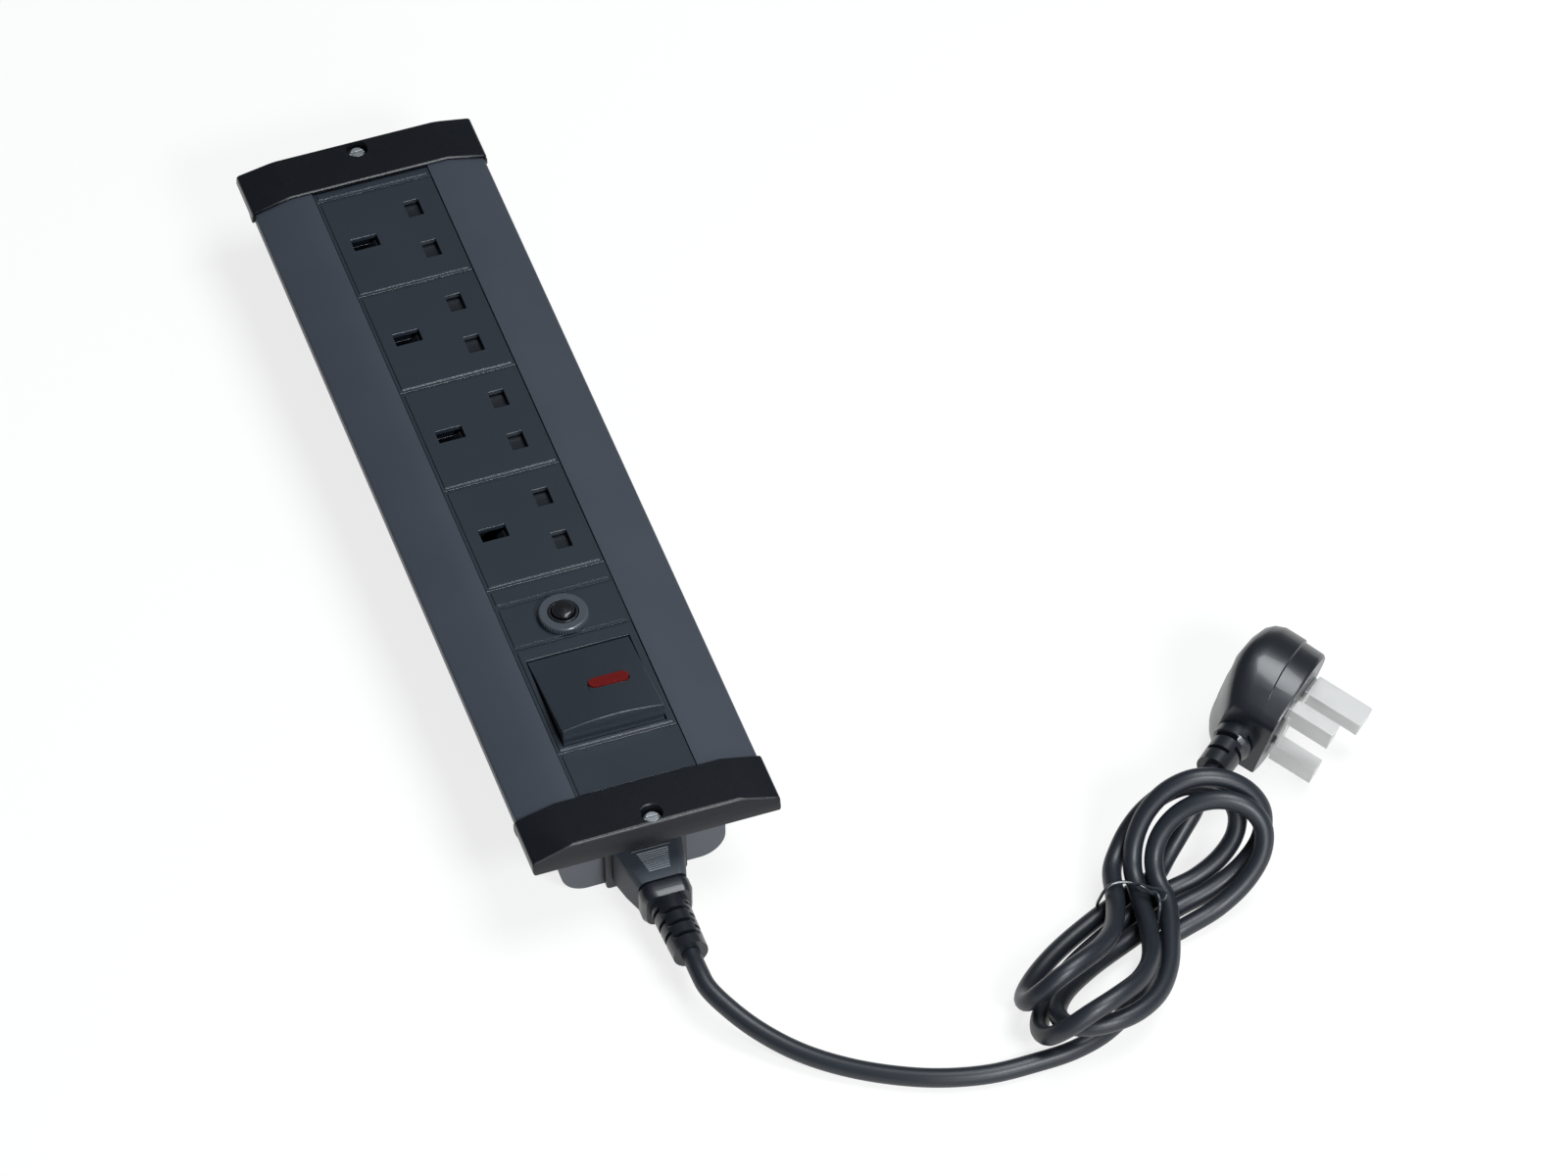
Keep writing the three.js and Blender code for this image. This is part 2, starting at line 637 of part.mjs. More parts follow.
// A plain clip-in plate: a hollow face with two clip legs.
function clipPlate(y0, y1) {
  const wall = SHELL_WALL;
  const hollow = block([-shellX + wall, y0 + wall, rimBottom - OVERRUN], [shellX - wall, y1 - wall,
    faceUnder]);
  const y = (y0 + y1) / 2;
  const width = Math.min(CLIP_WIDTH, (y1 - y0) - 2 * wall);
  return join(cut(moduleFace(y0, y1), hollow), clips(y, width));
}

// Sockets

const lineSlotX = EARTH_SLOT_X + EARTH_OFFSET;
const slotShifts = [PIN_SPACING / 2, -PIN_SPACING / 2];

function slotCut(x, y, size, margin = 0) {
  const a = size[0] / 2 + margin;
  const b = size[1] / 2 + margin;
  return block([x - a, y - b, faceUnder - OVERRUN], [x + a, y + b, panelTop + OVERRUN]);
}

function socket(centre) {
  const y0 = centre - SOCKET_PITCH / 2;
  const y1 = centre + SOCKET_PITCH / 2;
  const end = SOCKET_PITCH / 2 - SHELL_END_GAP;
  const bottom = SOCKET_FLOOR + SOCKET_BASE_THICKNESS + CLEARANCE;
  const shell = block([-shellX, centre - end, bottom], [shellX, centre + end, rimBottom + OVERRUN]);
  const wall = SHELL_WALL;
  const hollow = block([wall - shellX, centre - end + wall, bottom - OVERRUN],
    [shellX - wall, centre + end - wall, faceUnder]);
  const y = centre + SLOT_CENTRE_SHIFT;
  const slots = slotShifts.map((shift) => slotCut(lineSlotX, y + shift, LINE_SLOT));
  const earth = slotCut(EARTH_SLOT_X, y, EARTH_SLOT);
  const notches = busLines().map((x) => busTunnel(x, y0 - OVERRUN, y1 + OVERRUN));
  return join(cut(join(moduleFace(y0, y1), shell), hollow, ...slots, earth, ...notches),
    clipHooks(centre));
}

// On a socket the hooks stand straight on the shell's sides.
function clipHooks(centre) {
  const hook = polygon([[shellX - SHELL_WALL / 2, clipTop], [shellX + CLIP_REACH, clipTop],
    [shellX, clipBottom], [shellX - SHELL_WALL / 2, clipBottom]]);
  const right = solidOf(prismY(hook, centre - CLIP_WIDTH / 2, centre + CLIP_WIDTH / 2));
  return join(right, right.rotate([0, 0, 180]).translate([0, 2 * centre, 0]));
}

const busBottom = SOCKET_FLOOR + SOCKET_BASE_THICKNESS + 2 * CLEARANCE;
const busTop = busBottom + BUS_THICKNESS;
const earthBusX = EARTH_SLOT_X;

function busLines() {
  return [LIVE_BUS_X, NEUTRAL_BUS_X, earthBusX];
}

function busTunnel(x, y0, y1) {
  const half = BUS_WIDTH / 2 + CLEARANCE;
  return block([x - half, y0, SOCKET_FLOOR], [x + half, y1, busTop + CLEARANCE]);
}

function socketBase(centre) {
  const half = shellX;
  const end = SOCKET_PITCH / 2 - SHELL_END_GAP;
  const top = SOCKET_FLOOR + SOCKET_BASE_THICKNESS;
  const rib = SOCKET_BASE_THICKNESS;
  const plate = block([-half, centre - end, SOCKET_FLOOR], [half, centre + end, top]);
  const ribs = [-1, 1].map((side) => block(
    [side * half / 2 - rib / 2, centre - end, SOCKET_FLOOR - rib],
    [side * half / 2 + rib / 2, centre + end, top]));
  return join(plate, ...ribs);
}

const blockTop = faceUnder - 2 * CLEARANCE - SHUTTER_THICKNESS - CLEARANCE;
const leafGap = PIN_THICKNESS / 2;
const leafOuter = leafGap + CONTACT_LEAF;

// The insulating block that holds the clips of one socket and carries its shutter.
function contactBlock(centre) {
  const y = centre + SLOT_CENTRE_SHIFT;
  const margin = 2 * CLEARANCE;
  const halfX = shellX - SHELL_WALL - CLEARANCE;
  const halfY = SOCKET_PITCH / 2 - SHELL_END_GAP - SHELL_WALL - CLEARANCE;
  const low = SOCKET_FLOOR + SOCKET_BASE_THICKNESS + CLEARANCE;
  const body = block([-halfX, centre - halfY, low], [halfX, centre + halfY, blockTop]);
  const wellX = leafOuter + margin;
  const wellY = LINE_SLOT[1] / 2 + margin;
  const wells = slotShifts.map((shift) => block(
    [lineSlotX - wellX, y + shift - wellY, low - OVERRUN],
    [lineSlotX + wellX, y + shift + wellY, blockTop + OVERRUN]));
  const earthX = EARTH_SLOT[0] / 2 + CLEARANCE;
  const earthY = leafOuter + margin;
  const earthWell = block([EARTH_SLOT_X - earthX, y - earthY, low - OVERRUN],
    [EARTH_SLOT_X + earthX, y + earthY, blockTop + OVERRUN]);
  const rampRight = EARTH_SLOT_X + PIN_THICKNESS + SHUTTER_TRAVEL + margin;
  const rampPocket = block([EARTH_SLOT_X, y - earthY, blockTop - SHUTTER_RAMP_DEPTH],
    [rampRight, y + earthY, blockTop + OVERRUN]);
  const tunnels = busLines().map((x) => busTunnel(x, centre - SOCKET_PITCH, centre + SOCKET_PITCH));
  const taps = slotShifts.map((shift, i) => tapTunnel(i, y + shift));
  return cut(body, ...wells, earthWell, rampPocket, ...tunnels, ...taps);
}

// The passage for the tap between a bus bar and the foot of its clip.
function tapTunnel(line, y) {
  const half = LINE_PIN_WIDTH / 2 + CLEARANCE;
  const barX = line ? NEUTRAL_BUS_X : LIVE_BUS_X;
  const low = Math.min(barX, lineSlotX);
  const high = Math.max(barX, lineSlotX);
  return block([low, y - half, SOCKET_FLOOR], [high, y + half, busTop + CLEARANCE]);
}

// The shutter: a bar across both line slots, a stem, and a ramp that the earth pin pushes.
function shutter(centre) {
  const y = centre + SLOT_CENTRE_SHIFT;
  const low = blockTop + CLEARANCE;
  const high = low + SHUTTER_THICKNESS;
  const left = lineSlotX - LINE_SLOT[0] / 2 - SHUTTER_LAP;
  const right = lineSlotX + LINE_SLOT[0] / 2 + SHUTTER_LAP;
  const reach = PIN_SPACING / 2 + LINE_SLOT[1] / 2 + CLEARANCE;
  const bar = block([left, y - reach, low], [right, y + reach, high]);
  const rampTop = EARTH_SLOT_X + PIN_THICKNESS;
  const half = SHUTTER_STEM_WIDTH / 2;
  const stem = block([rampTop, y - half, low], [left + OVERRUN, y + half, high]);
  const foot = high - SHUTTER_RAMP_DEPTH;
  const ramp = polygon([[rampTop, high], [rampTop - SHUTTER_TRAVEL, foot], [rampTop + CLEARANCE, foot],
    [rampTop + 2 * CLEARANCE, high]]);
  return join(bar, stem, solidOf(prismY(ramp, y - half, y + half)));
}

// A spring clip: two leaves that grip a pin across `axis`, on a foot level with the bus bar.
function contactClip(x, y, width, across) {
  const half = width / 2;
  const top = busTop + CONTACT_HEIGHT;
  const pinch = CONTACT_LEAF / 4;
  const section = (side) => polygon([[side * leafGap, busBottom], [side * (leafGap + CONTACT_LEAF),
    busBottom],
    [side * (leafGap + CONTACT_LEAF), top], [side * (leafGap + pinch), top]]);
  const foot = rectangle(-leafOuter, busBottom, leafOuter, busTop);
  const shapes = [section(1), section(-1), foot];
  const solids = shapes.map((shape) => solidOf(prismY(windUp(shape), -half, half)));
  return join(...solids).rotate([0, 0, across ? 90 : 0]).translate([x, y, 0]);
}

function windUp(shape) {
  const points = shape.getPoints();
  return THREE.ShapeUtils.area(points) < 0 ? new THREE.Shape(points.reverse()) : shape;
}

const rowTop = rowEnd - FILLER_LENGTH;

function socketCentre(index) {
  return rowTop - SOCKET_PITCH * (index + 0.5);
}

// One bus bar under all the sockets, with a tap and a clip at each.
function busBar(x, line) {
  const far = socketCentre(0) + SOCKET_PITCH / 2 - BUS_OVERHANG;
  const near = socketCentre(SOCKET_COUNT - 1) - SOCKET_PITCH / 2 - BUS_OVERHANG;
  const bar = block([x - BUS_WIDTH / 2, near, busBottom], [x + BUS_WIDTH / 2, far, busTop]);
  const parts = [];
  for (let i = 0; i < SOCKET_COUNT; i += 1) {
    const y = socketCentre(i) + SLOT_CENTRE_SHIFT;
    if (line < 0) {
      parts.push(contactClip(earthBusX, y, EARTH_PIN_WIDTH, true));
    } else {
      const clipY = y + slotShifts[line];
      const side = Math.sign(lineSlotX - x);
      const half = LINE_PIN_WIDTH / 2;
      const tapEnd = lineSlotX - side * leafGap;
      parts.push(block([Math.min(x, tapEnd), clipY - half, busBottom], [Math.max(x, tapEnd),
        clipY + half, busTop]));
      parts.push(contactClip(lineSlotX, clipY, LINE_PIN_WIDTH, false));
    }
  }
  return join(bar, ...parts);
}

// Breaker

const breakerPlateTopY = rowTop - SOCKET_COUNT * SOCKET_PITCH - MIDDLE_FILLER_LENGTH;
const breakerPlateLowY = breakerPlateTopY - BREAKER_PLATE_LENGTH;
const switchLowY = breakerPlateLowY - SWITCH_LENGTH;
const bodyTop = faceUnder - CLEARANCE;

function breakerPlate() {
  const hole = rod(BUSH_DIAMETER / 2 + CLEARANCE, rimBottom - OVERRUN, panelTop + OVERRUN, 0, BREAKER_Y,
    ROUND_SIDES);
  return cut(clipPlate(breakerPlateLowY, breakerPlateTopY), hole);
}

function breakerBody() {
  const [width, length, height] = BREAKER_BODY;
  const body = block([-width / 2, BREAKER_Y - length / 2, bodyTop - height],
    [width / 2, BREAKER_Y + length / 2, bodyTop]);
  const bush = rod(BUSH_DIAMETER / 2, bodyTop - OVERRUN, BUSH_TOP, 0, BREAKER_Y, ROUND_SIDES);
  const bore = rod(BUSH_BORE / 2, BUTTON_TOP - BUTTON_DEPTH - CLEARANCE, BUSH_TOP + OVERRUN, 0, BREAKER_Y,
    ROUND_SIDES);
  const [bladeWidth, bladeThickness] = TERMINAL_BLADE;
  const slots = [-1, 1].map((side) => {
    const x = side * TERMINAL_SPACING / 2;
    const a = bladeWidth / 2 + CLEARANCE;
    const b = bladeThickness / 2 + CLEARANCE;
    return block([x - a, BREAKER_Y - b, bodyTop - height - OVERRUN],
      [x + a, BREAKER_Y + b, bodyTop - height + bladeWidth]);
  });
  return cut(join(body, bush), bore, ...slots);
}

function breakerTerminal(side) {
  const [width, thickness, length] = TERMINAL_BLADE;
  const x = side * TERMINAL_SPACING / 2;
  const low = bodyTop - BREAKER_BODY[2] - length;
  const high = bodyTop - BREAKER_BODY[2] + width - CLEARANCE;
  const blade = block([x - width / 2, BREAKER_Y - thickness / 2, low], [x + width / 2,
    BREAKER_Y + thickness / 2, high]);
  const hole = solidOf(prismY(circle(width / 5, x, low + width / 2), BREAKER_Y - OVERRUN,
    BREAKER_Y + OVERRUN));
  return cut(blade, hole);
}

function breakerNut() {
  const outer = NUT_DIAMETER / 2;
  const low = panelTop + CLEARANCE;
  const high = low + NUT_THICKNESS;
  const points = [];
  for (let i = 0; i < 2 * NUT_TEETH; i += 1) {
    const radius = i % 2 ? outer : outer - NUT_TOOTH_DEPTH;
    const angle = (i * Math.PI) / NUT_TEETH;
    points.push([radius * Math.cos(angle), radius * Math.sin(angle)]);
  }
  const envelope = turned([[0, low], [outer, low], [outer, high - NUT_CHAMFER], [outer - NUT_CHAMFER, high],
    [0, high]], 2 * NUT_TEETH);
  const bore = rod(BUSH_DIAMETER / 2 + CLEARANCE, low - OVERRUN, high + OVERRUN, 0, 0, ROUND_SIDES);
  const toothed = solidOf(prismZ(polygon(points), low, high));
  return cut(toothed.intersect(envelope), bore).translate([0, BREAKER_Y, 0]);
}

function resetButton() {
  const radius = BUTTON_DIAMETER / 2;
  const low = BUTTON_TOP - BUTTON_DEPTH;
  const shoulder = BUTTON_TOP - BUTTON_DOME - BUTTON_EDGE;
  const flat = radius - BUTTON_EDGE;
  const profile = [[0, low], [BUTTON_STEM_DIAMETER / 2, low], [BUTTON_STEM_DIAMETER / 2, low + BUTTON_TRAVEL],
    [radius, low + BUTTON_TRAVEL], [radius, shoulder]];
  for (let i = 1; i <= ARC_STEPS; i += 1) {
    const angle = (i / ARC_STEPS) * (Math.PI / 2);
    profile.push([flat + BUTTON_EDGE * Math.cos(angle), shoulder + BUTTON_EDGE * Math.sin(angle)]);
  }
  profile.push([flat / 2, BUTTON_TOP - BUTTON_DOME / 4], [0, BUTTON_TOP]);
  return turned(profile).translate([0, BREAKER_Y, 0]);
}

// Switch

const rockerX = moduleX - ROCKER_BORDER;
const rockerHalf = ROCKER_LENGTH / 2;
const rockerTilt = Math.atan((ROCKER_NEAR_TOP - ROCKER_FAR_TOP) / ROCKER_LENGTH);

function switchFrame() {
  const y0 = switchLowY;
  const y1 = breakerPlateLowY;
  const body = block([-shellX, y0 + SHELL_END_GAP, SWITCH_FLOOR], [shellX, y1 - SHELL_END_GAP,
    rimBottom + OVERRUN]);
  const openX = rockerX + SWITCH_SIDE_GAP;
  const opening = block([-openX, ROCKER_Y - ROCKER_SKIRT_NEAR - CLEARANCE, SWITCH_FLOOR + SWITCH_WALL],
    [openX, ROCKER_Y + ROCKER_SKIRT_FAR + CLEARANCE, panelTop + OVERRUN]);
  const pinHole = solidOf(prismX(circle(ROCKER_PIN_DIAMETER / 2 + CLEARANCE, ROCKER_Y, ROCKER_AXIS_Z),
    -shellX - OVERRUN, shellX + OVERRUN));
  return join(cut(join(moduleFace(y0, y1), body), opening, pinHole), clipHooksBeside(ROCKER_Y));
}

// The switch is held by hooks on both sides of its pivot holes.
function clipHooksBeside(y) {
  const shift = CLIP_WIDTH;
  return join(clipHooks(y - shift), clipHooks(y + shift));
}

function rockerTop(y) {
  const share = (rockerHalf - y) / ROCKER_LENGTH;
  return ROCKER_FAR_TOP + share * (ROCKER_NEAR_TOP - ROCKER_FAR_TOP);
}

// The crown grows evenly from nothing at the flush end to its full height at the raised end.
function rockerCrown(x, y) {
  const share = (rockerHalf - y) / ROCKER_LENGTH;
  return ROCKER_CROWN * share * (1 - (x / rockerX) ** 2);
}

const rockerFoot = ROCKER_AXIS_Z - ROCKER_SKIRT_DEPTH;

function rockerOutside() {
  const rings = [];
  for (let i = 0; i <= ARC_STEPS; i += 1) {
    const y = -rockerHalf + (i / ARC_STEPS) * ROCKER_LENGTH;
    const ring = [new THREE.Vector3(-rockerX, y, rockerFoot), new THREE.Vector3(rockerX, y, rockerFoot)];
    const steps = 2 * ARC_STEPS;
    for (let j = 0; j <= steps; j += 1) {
      const x = rockerX - (j / steps) * 2 * rockerX;
      ring.push(new THREE.Vector3(x, y, rockerTop(y) + rockerCrown(x, y)));
    }
    rings.push(ring);
  }
  return loft(rings);
}

// A skirt that stays close to the edge of the opening as the rocker turns.
function rockerSkirt(side, radius, top) {
  const points = [];
  const steps = ARC_STEPS;
  for (let i = 0; i <= steps; i += 1) {
    const dz = -ROCKER_SKIRT_DEPTH + (i / steps) * (top - rockerFoot);
    points.push([side * Math.sqrt(radius ** 2 - dz ** 2), ROCKER_AXIS_Z + dz]);
  }
  const inner = side * (rockerHalf - ROCKER_WALL);
  points.push([inner, top], [inner, rockerFoot]);
  return solidOf(prismX(windUp(polygon(points)), -rockerX, rockerX));
}

function rocker() {
  const inner = rockerHalf - ROCKER_WALL;
  const hollow = polygon([[-inner, rockerFoot - OVERRUN], [inner, rockerFoot - OVERRUN],
    [inner, rockerTop(inner) - ROCKER_WALL], [-inner, rockerTop(-inner) - ROCKER_WALL]]);
  const skirts = [rockerSkirt(-1, ROCKER_SKIRT_NEAR, MODULE_TOP), rockerSkirt(1, ROCKER_SKIRT_FAR,
    ROCKER_FAR_TOP)];
  const pin = prismX(circle(ROCKER_PIN_DIAMETER / 2, 0, ROCKER_AXIS_Z), -rockerX - ROCKER_PIN_REACH,
    rockerX + ROCKER_PIN_REACH);
  const wall = rockerX - ROCKER_WALL;
  const body = cut(join(rockerOutside(), ...skirts), solidOf(prismX(hollow, -wall, wall)));
  const pivot = solidOf(pin);
  const pocket = lensSolid(CLEARANCE, ROCKER_WALL + ROCKER_CROWN).rotate([-rockerTilt / DEGREES, 0, 0])
    .translate([LENS_X, LENS_Y - ROCKER_Y, lensSeat()]);
  return cut(join(body, pivot), pocket).translate([0, ROCKER_Y, 0]);
}

function lensSeat() {
  const y = LENS_Y - ROCKER_Y;
  return rockerTop(y) + rockerCrown(LENS_X, y);
}

function lensSolid(margin, depth) {
  const shape = roundedRectangle(LENS_LENGTH + 2 * margin, LENS_WIDTH + 2 * margin,
    LENS_WIDTH / 2 + margin - WELD);
  return solidOf(prismZ(shape, -depth, margin ? LENS_RISE + OVERRUN : LENS_RISE));
}

// Inlet

const flangeBackY = -(plateOuterY + CLEARANCE);
const flangeFaceY = flangeBackY - INLET_FLANGE[2];
const inletInnerY = flangeBackY + INLET_DEPTH;
const recessFloorY = flangeFaceY + COUPLER_NOSE_LENGTH + 2 * CLEARANCE;

function noseShape(margin) {
  const half = COUPLER_NOSE[0] / 2 + margin;
  const low = INLET_Z - COUPLER_NOSE[1] / 2 - margin;
  const high = INLET_Z + COUPLER_NOSE[1] / 2 + margin;
  const slant = COUPLER_NOSE_CHAMFER;
  return polygon([[-half, low], [half, low], [half, high - slant], [half - slant, high], [slant - half, high],
    [-half, high - slant]]);
}

function couplerPins() {
  const half = COUPLER_PIN_SPACING / 2;
  const rise = COUPLER_EARTH_RISE / 2;
  return [[half, INLET_Z - rise], [-half, INLET_Z - rise], [0, INLET_Z + rise]];
}

function pinBlade([x, z], margin, y0, y1) {
  const a = COUPLER_PIN[0] / 2 + margin;
  const b = COUPLER_PIN[1] / 2 + margin;
  return block([x - a, y0, z - b], [x + a, y1, z + b]);
}

function inletBody() {
  const flange = roundedRectangle(INLET_FLANGE[0], INLET_FLANGE[1], INLET_FLANGE_CORNER, 0, INLET_Z);
  const body = roundedRectangle(INLET_BODY[0], INLET_BODY[1], INLET_CORNER, 0, INLET_Z);
  const whole = join(solidOf(prismY(flange, flangeFaceY, flangeBackY)),
    solidOf(prismY(body, flangeBackY - OVERRUN, inletInnerY)));
  const recess = solidOf(prismY(noseShape(CLEARANCE), flangeFaceY - OVERRUN, recessFloorY));
  const holes = couplerPins().map((place) => pinBlade(place, CLEARANCE, recessFloorY - OVERRUN,
    inletInnerY + OVERRUN));
  return cut(whole, recess, ...holes);
}

function inletPin(place) {
  return pinBlade(place, 0, recessFloorY - COUPLER_PIN_LENGTH, inletInnerY + COUPLER_PIN_TAIL);
}

function nearEndPlate() {
  const body = roundedRectangle(INLET_BODY[0] + 2 * CLEARANCE, INLET_BODY[1] + 2 * CLEARANCE,
    INLET_CORNER, 0, INLET_Z);
  const window = solidOf(prismY(body, -plateOuterY - OVERRUN, OVERRUN - plateInnerY));
  return cut(endPlate().rotate([0, 0, 180]), window);
}

// Connector on the lead

const rimFaceY = flangeFaceY - CLEARANCE;
const taperEndY = rimFaceY - CONNECTOR_TAPER;
const collarEndY = taperEndY - COLLAR[2];
const reliefEndY = collarEndY - RELIEF_LENGTH;
const reliefEndZ = INLET_Z + RELIEF_RISE;

function boxRing(width, height, radius, y, z = INLET_Z) {
  return ringOf(roundedRectangle(width, height, radius, 0, z), 2 * RELIEF_SIDES,
    (a, b) => new THREE.Vector3(a, y, b));
}

function connectorShell() {
  const [width, height, rim] = CONNECTOR_RIM;
  const [endWidth, endHeight] = CONNECTOR_END;
  const round = CONNECTOR_CORNER;
  const half = rimFaceY - rim - (CONNECTOR_TAPER - rim) / 2;
  return loft([
    boxRing(width, height, round / 2, rimFaceY),
    boxRing(width, height, round / 2, rimFaceY - rim),
    boxRing((width + endWidth) / 2 + rim, (height + endHeight) / 2 + rim / 2, round, half),
    boxRing(endWidth, endHeight, round, taperEndY),
  ]);
}

function collar() {
  const [width, height, length] = COLLAR;
  const round = COLLAR_CORNER;
  const shrink = round / 2;
  const start = taperEndY + CLEARANCE;
  return loft([
    boxRing(width - shrink, height - shrink, round - shrink / 2, start),
    boxRing(width, height, round, taperEndY - shrink / 2),
    boxRing(width, height, round, collarEndY + shrink),
    boxRing(width - shrink, height - shrink, round - shrink / 2, collarEndY),
  ]);
}

function relief() {
  const rings = [];
  for (let i = 0; i <= ARC_STEPS; i += 1) {
    const share = i / ARC_STEPS;
    const radius = (RELIEF_ROOT + share * (RELIEF_TIP - RELIEF_ROOT)) / 2;
    const y = collarEndY + OVERRUN - share * (RELIEF_LENGTH + OVERRUN);
    const z = INLET_Z + RELIEF_RISE * share;
    const ring = [];
    for (let j = 0; j < RELIEF_SIDES; j += 1) {
      const angle = (j / RELIEF_SIDES) * 2 * Math.PI;
      ring.push(new THREE.Vector3(radius * Math.cos(angle), y, z + radius * Math.sin(angle)));
    }
    rings.push(ring);
  }
  return loft(rings);
}

// Staggered slots that let the relief bend: pairs at the sides, then above and below.
function reliefSlots() {
  const slots = [];
  const pitch = RELIEF_LENGTH / (RELIEF_SLOTS + 1);
  const deep = RELIEF_SLOT_DEPTH;
  const wide = RELIEF_ROOT;
  for (let i = 0; i < RELIEF_SLOTS; i += 1) {
    const y = collarEndY - pitch * (i + 0.5);
    const share = (i + 0.5) / (RELIEF_SLOTS + 1);
    const radius = (RELIEF_ROOT + share * (RELIEF_TIP - RELIEF_ROOT)) / 2;
    const z = INLET_Z + RELIEF_RISE * share;
    const inner = radius - deep;
    slots.push(block([inner, y - RELIEF_SLOT, z - wide], [wide, y, z + wide]));
    slots.push(block([-wide, y - RELIEF_SLOT, z - wide], [-inner, y, z + wide]));
    const next = y - pitch / 2;
    slots.push(block([-wide, next - RELIEF_SLOT, z + inner], [wide, next, z + wide]));
    slots.push(block([-wide, next - RELIEF_SLOT, z - wide], [wide, next, z - inner]));
  }
  return slots;
}

function connector() {
  const noseEnd = rimFaceY + COUPLER_NOSE_LENGTH;
  const nose = solidOf(prismY(noseShape(0), rimFaceY - OVERRUN, noseEnd));
  const depth = COUPLER_PIN_LENGTH + OVERRUN;
  const holes = couplerPins().map((place) => pinBlade(place, CLEARANCE, noseEnd - depth, noseEnd + OVERRUN));
  return cut(join(nose, connectorShell(), collar(), relief()), ...holes, ...reliefSlots());
}

// Plug, in its own frame: X towards the earth pin, Y across the line pins, Z the way the pins point.

const plug = new THREE.Group();
plug.position.set(...PLUG_PLACE);
plug.quaternion
  .setFromAxisAngle(new THREE.Vector3(0, 0, 1), PLUG_HEADING)
  .multiply(new THREE.Quaternion().setFromAxisAngle(new THREE.Vector3(1, 0, 0), PLUG_LEAN))
  .multiply(new THREE.Quaternion().setFromAxisAngle(new THREE.Vector3(0, 0, 1), PLUG_ROLL));

// Outline of the pin face: a shield, narrow at both ends.
function plugOutline() {
  const heel = PLUG_HEEL_WIDTH / 2;
  const toe = PLUG_TOE_WIDTH / 2;
  const wide = PLUG_WIDTH / 2;
  const reach = (PLUG_TOE - PLUG_WIDEST) / 2;
  const shape = new THREE.Shape();
  shape.moveTo(PLUG_HEEL, -heel);
  shape.quadraticCurveTo(PLUG_WIDEST - reach, -wide, PLUG_WIDEST, -wide);
  shape.bezierCurveTo(PLUG_WIDEST + reach, -wide, PLUG_TOE, -toe - heel / 4, PLUG_TOE, -toe / 2);
  shape.lineTo(PLUG_TOE, toe / 2);
  shape.bezierCurveTo(PLUG_TOE, toe + heel / 4, PLUG_WIDEST + reach, wide, PLUG_WIDEST, wide);
  shape.quadraticCurveTo(PLUG_WIDEST - reach, wide, PLUG_HEEL, heel);
  shape.lineTo(PLUG_HEEL, -heel);
  return shape;
}

// Shares of the depth, each with the size of the outline there: a moulded step a third of the
// way back, then the rounding at the back.
const PLUG_SIDE_SHARES = [[0, 0.955], [0.04, 0.975], [0.325, 0.98], [0.345, 1], [0.66, 1], [0.8, 0.965],
  [0.89, 0.91], [0.96, 0.8], [1, 0.62], [1.008, 0.4], [1.012, 0.2], [1.013, 0.04]];

// The body is shallow at its heel and deepens towards its middle.
function plugDepth(x) {
  const share = Math.min(1, (x - PLUG_HEEL) / (PLUG_WIDEST - PLUG_HEEL));
  return PLUG_HEEL_DEPTH + (PLUG_DEPTH - PLUG_HEEL_DEPTH) * Math.sin(share * Math.PI / 2);
}

function plugBody() {
  const outline = plugOutline();
  const rings = PLUG_SIDE_SHARES.map(([depth, size]) => ringOf(outline, 2 * RELIEF_SIDES, (a, b) => {
    const x = PLUG_HEEL + (a - PLUG_HEEL) * size;
    return new THREE.Vector3(x, b * size, -plugDepth(x) * depth);
  }));
  const root = PLUG_PIN_ROOT;
  const holes = linePlaces().map((y) => plugPinSolid(0, y, PIN_THICKNESS, LINE_PIN_WIDTH, -root, root,
    CLEARANCE));
  holes.push(plugPinSolid(EARTH_OFFSET, 0, EARTH_PIN_WIDTH, PIN_THICKNESS, -root, root, CLEARANCE));
  const [carrierLength, carrierWidth, carrierDepth] = FUSE_CARRIER;
  const fit = CLEARANCE;
  const pocket = block([FUSE_CARRIER_U - carrierLength / 2 - fit, -carrierWidth / 2 - fit,
    -carrierDepth - FUSE[0] - 3 * fit],
    [FUSE_CARRIER_U + carrierLength / 2 + fit, carrierWidth / 2 + fit, OVERRUN]);
  return cut(join(loft(rings), plugRelief()), ...holes, pocket);
}

function linePlaces() {
  return [PIN_SPACING / 2, -PIN_SPACING / 2];
}

function plugPinSolid(x, y, sizeX, sizeY, low, high, margin) {
  const a = sizeX / 2 + margin;
  const b = sizeY / 2 + margin;
  return block([x - a, y - b, low - margin], [x + a, y + b, high]);
}

// A pin with its end drawn in.
function plugPin(x, y, sizeX, sizeY, length) {
  const tip = PIN_THICKNESS / 4;
  const rings = [[-PLUG_PIN_ROOT, 0], [length - tip, 0], [length, tip]].map(([z, inset]) => {
    const a = sizeX / 2 - inset;
    const b = sizeY / 2 - inset;
    return [[-a, -b], [a, -b], [a, b], [-a, b]].map(([p, q]) => new THREE.Vector3(x + p, y + q, z));
  });
  return loft(rings);
}

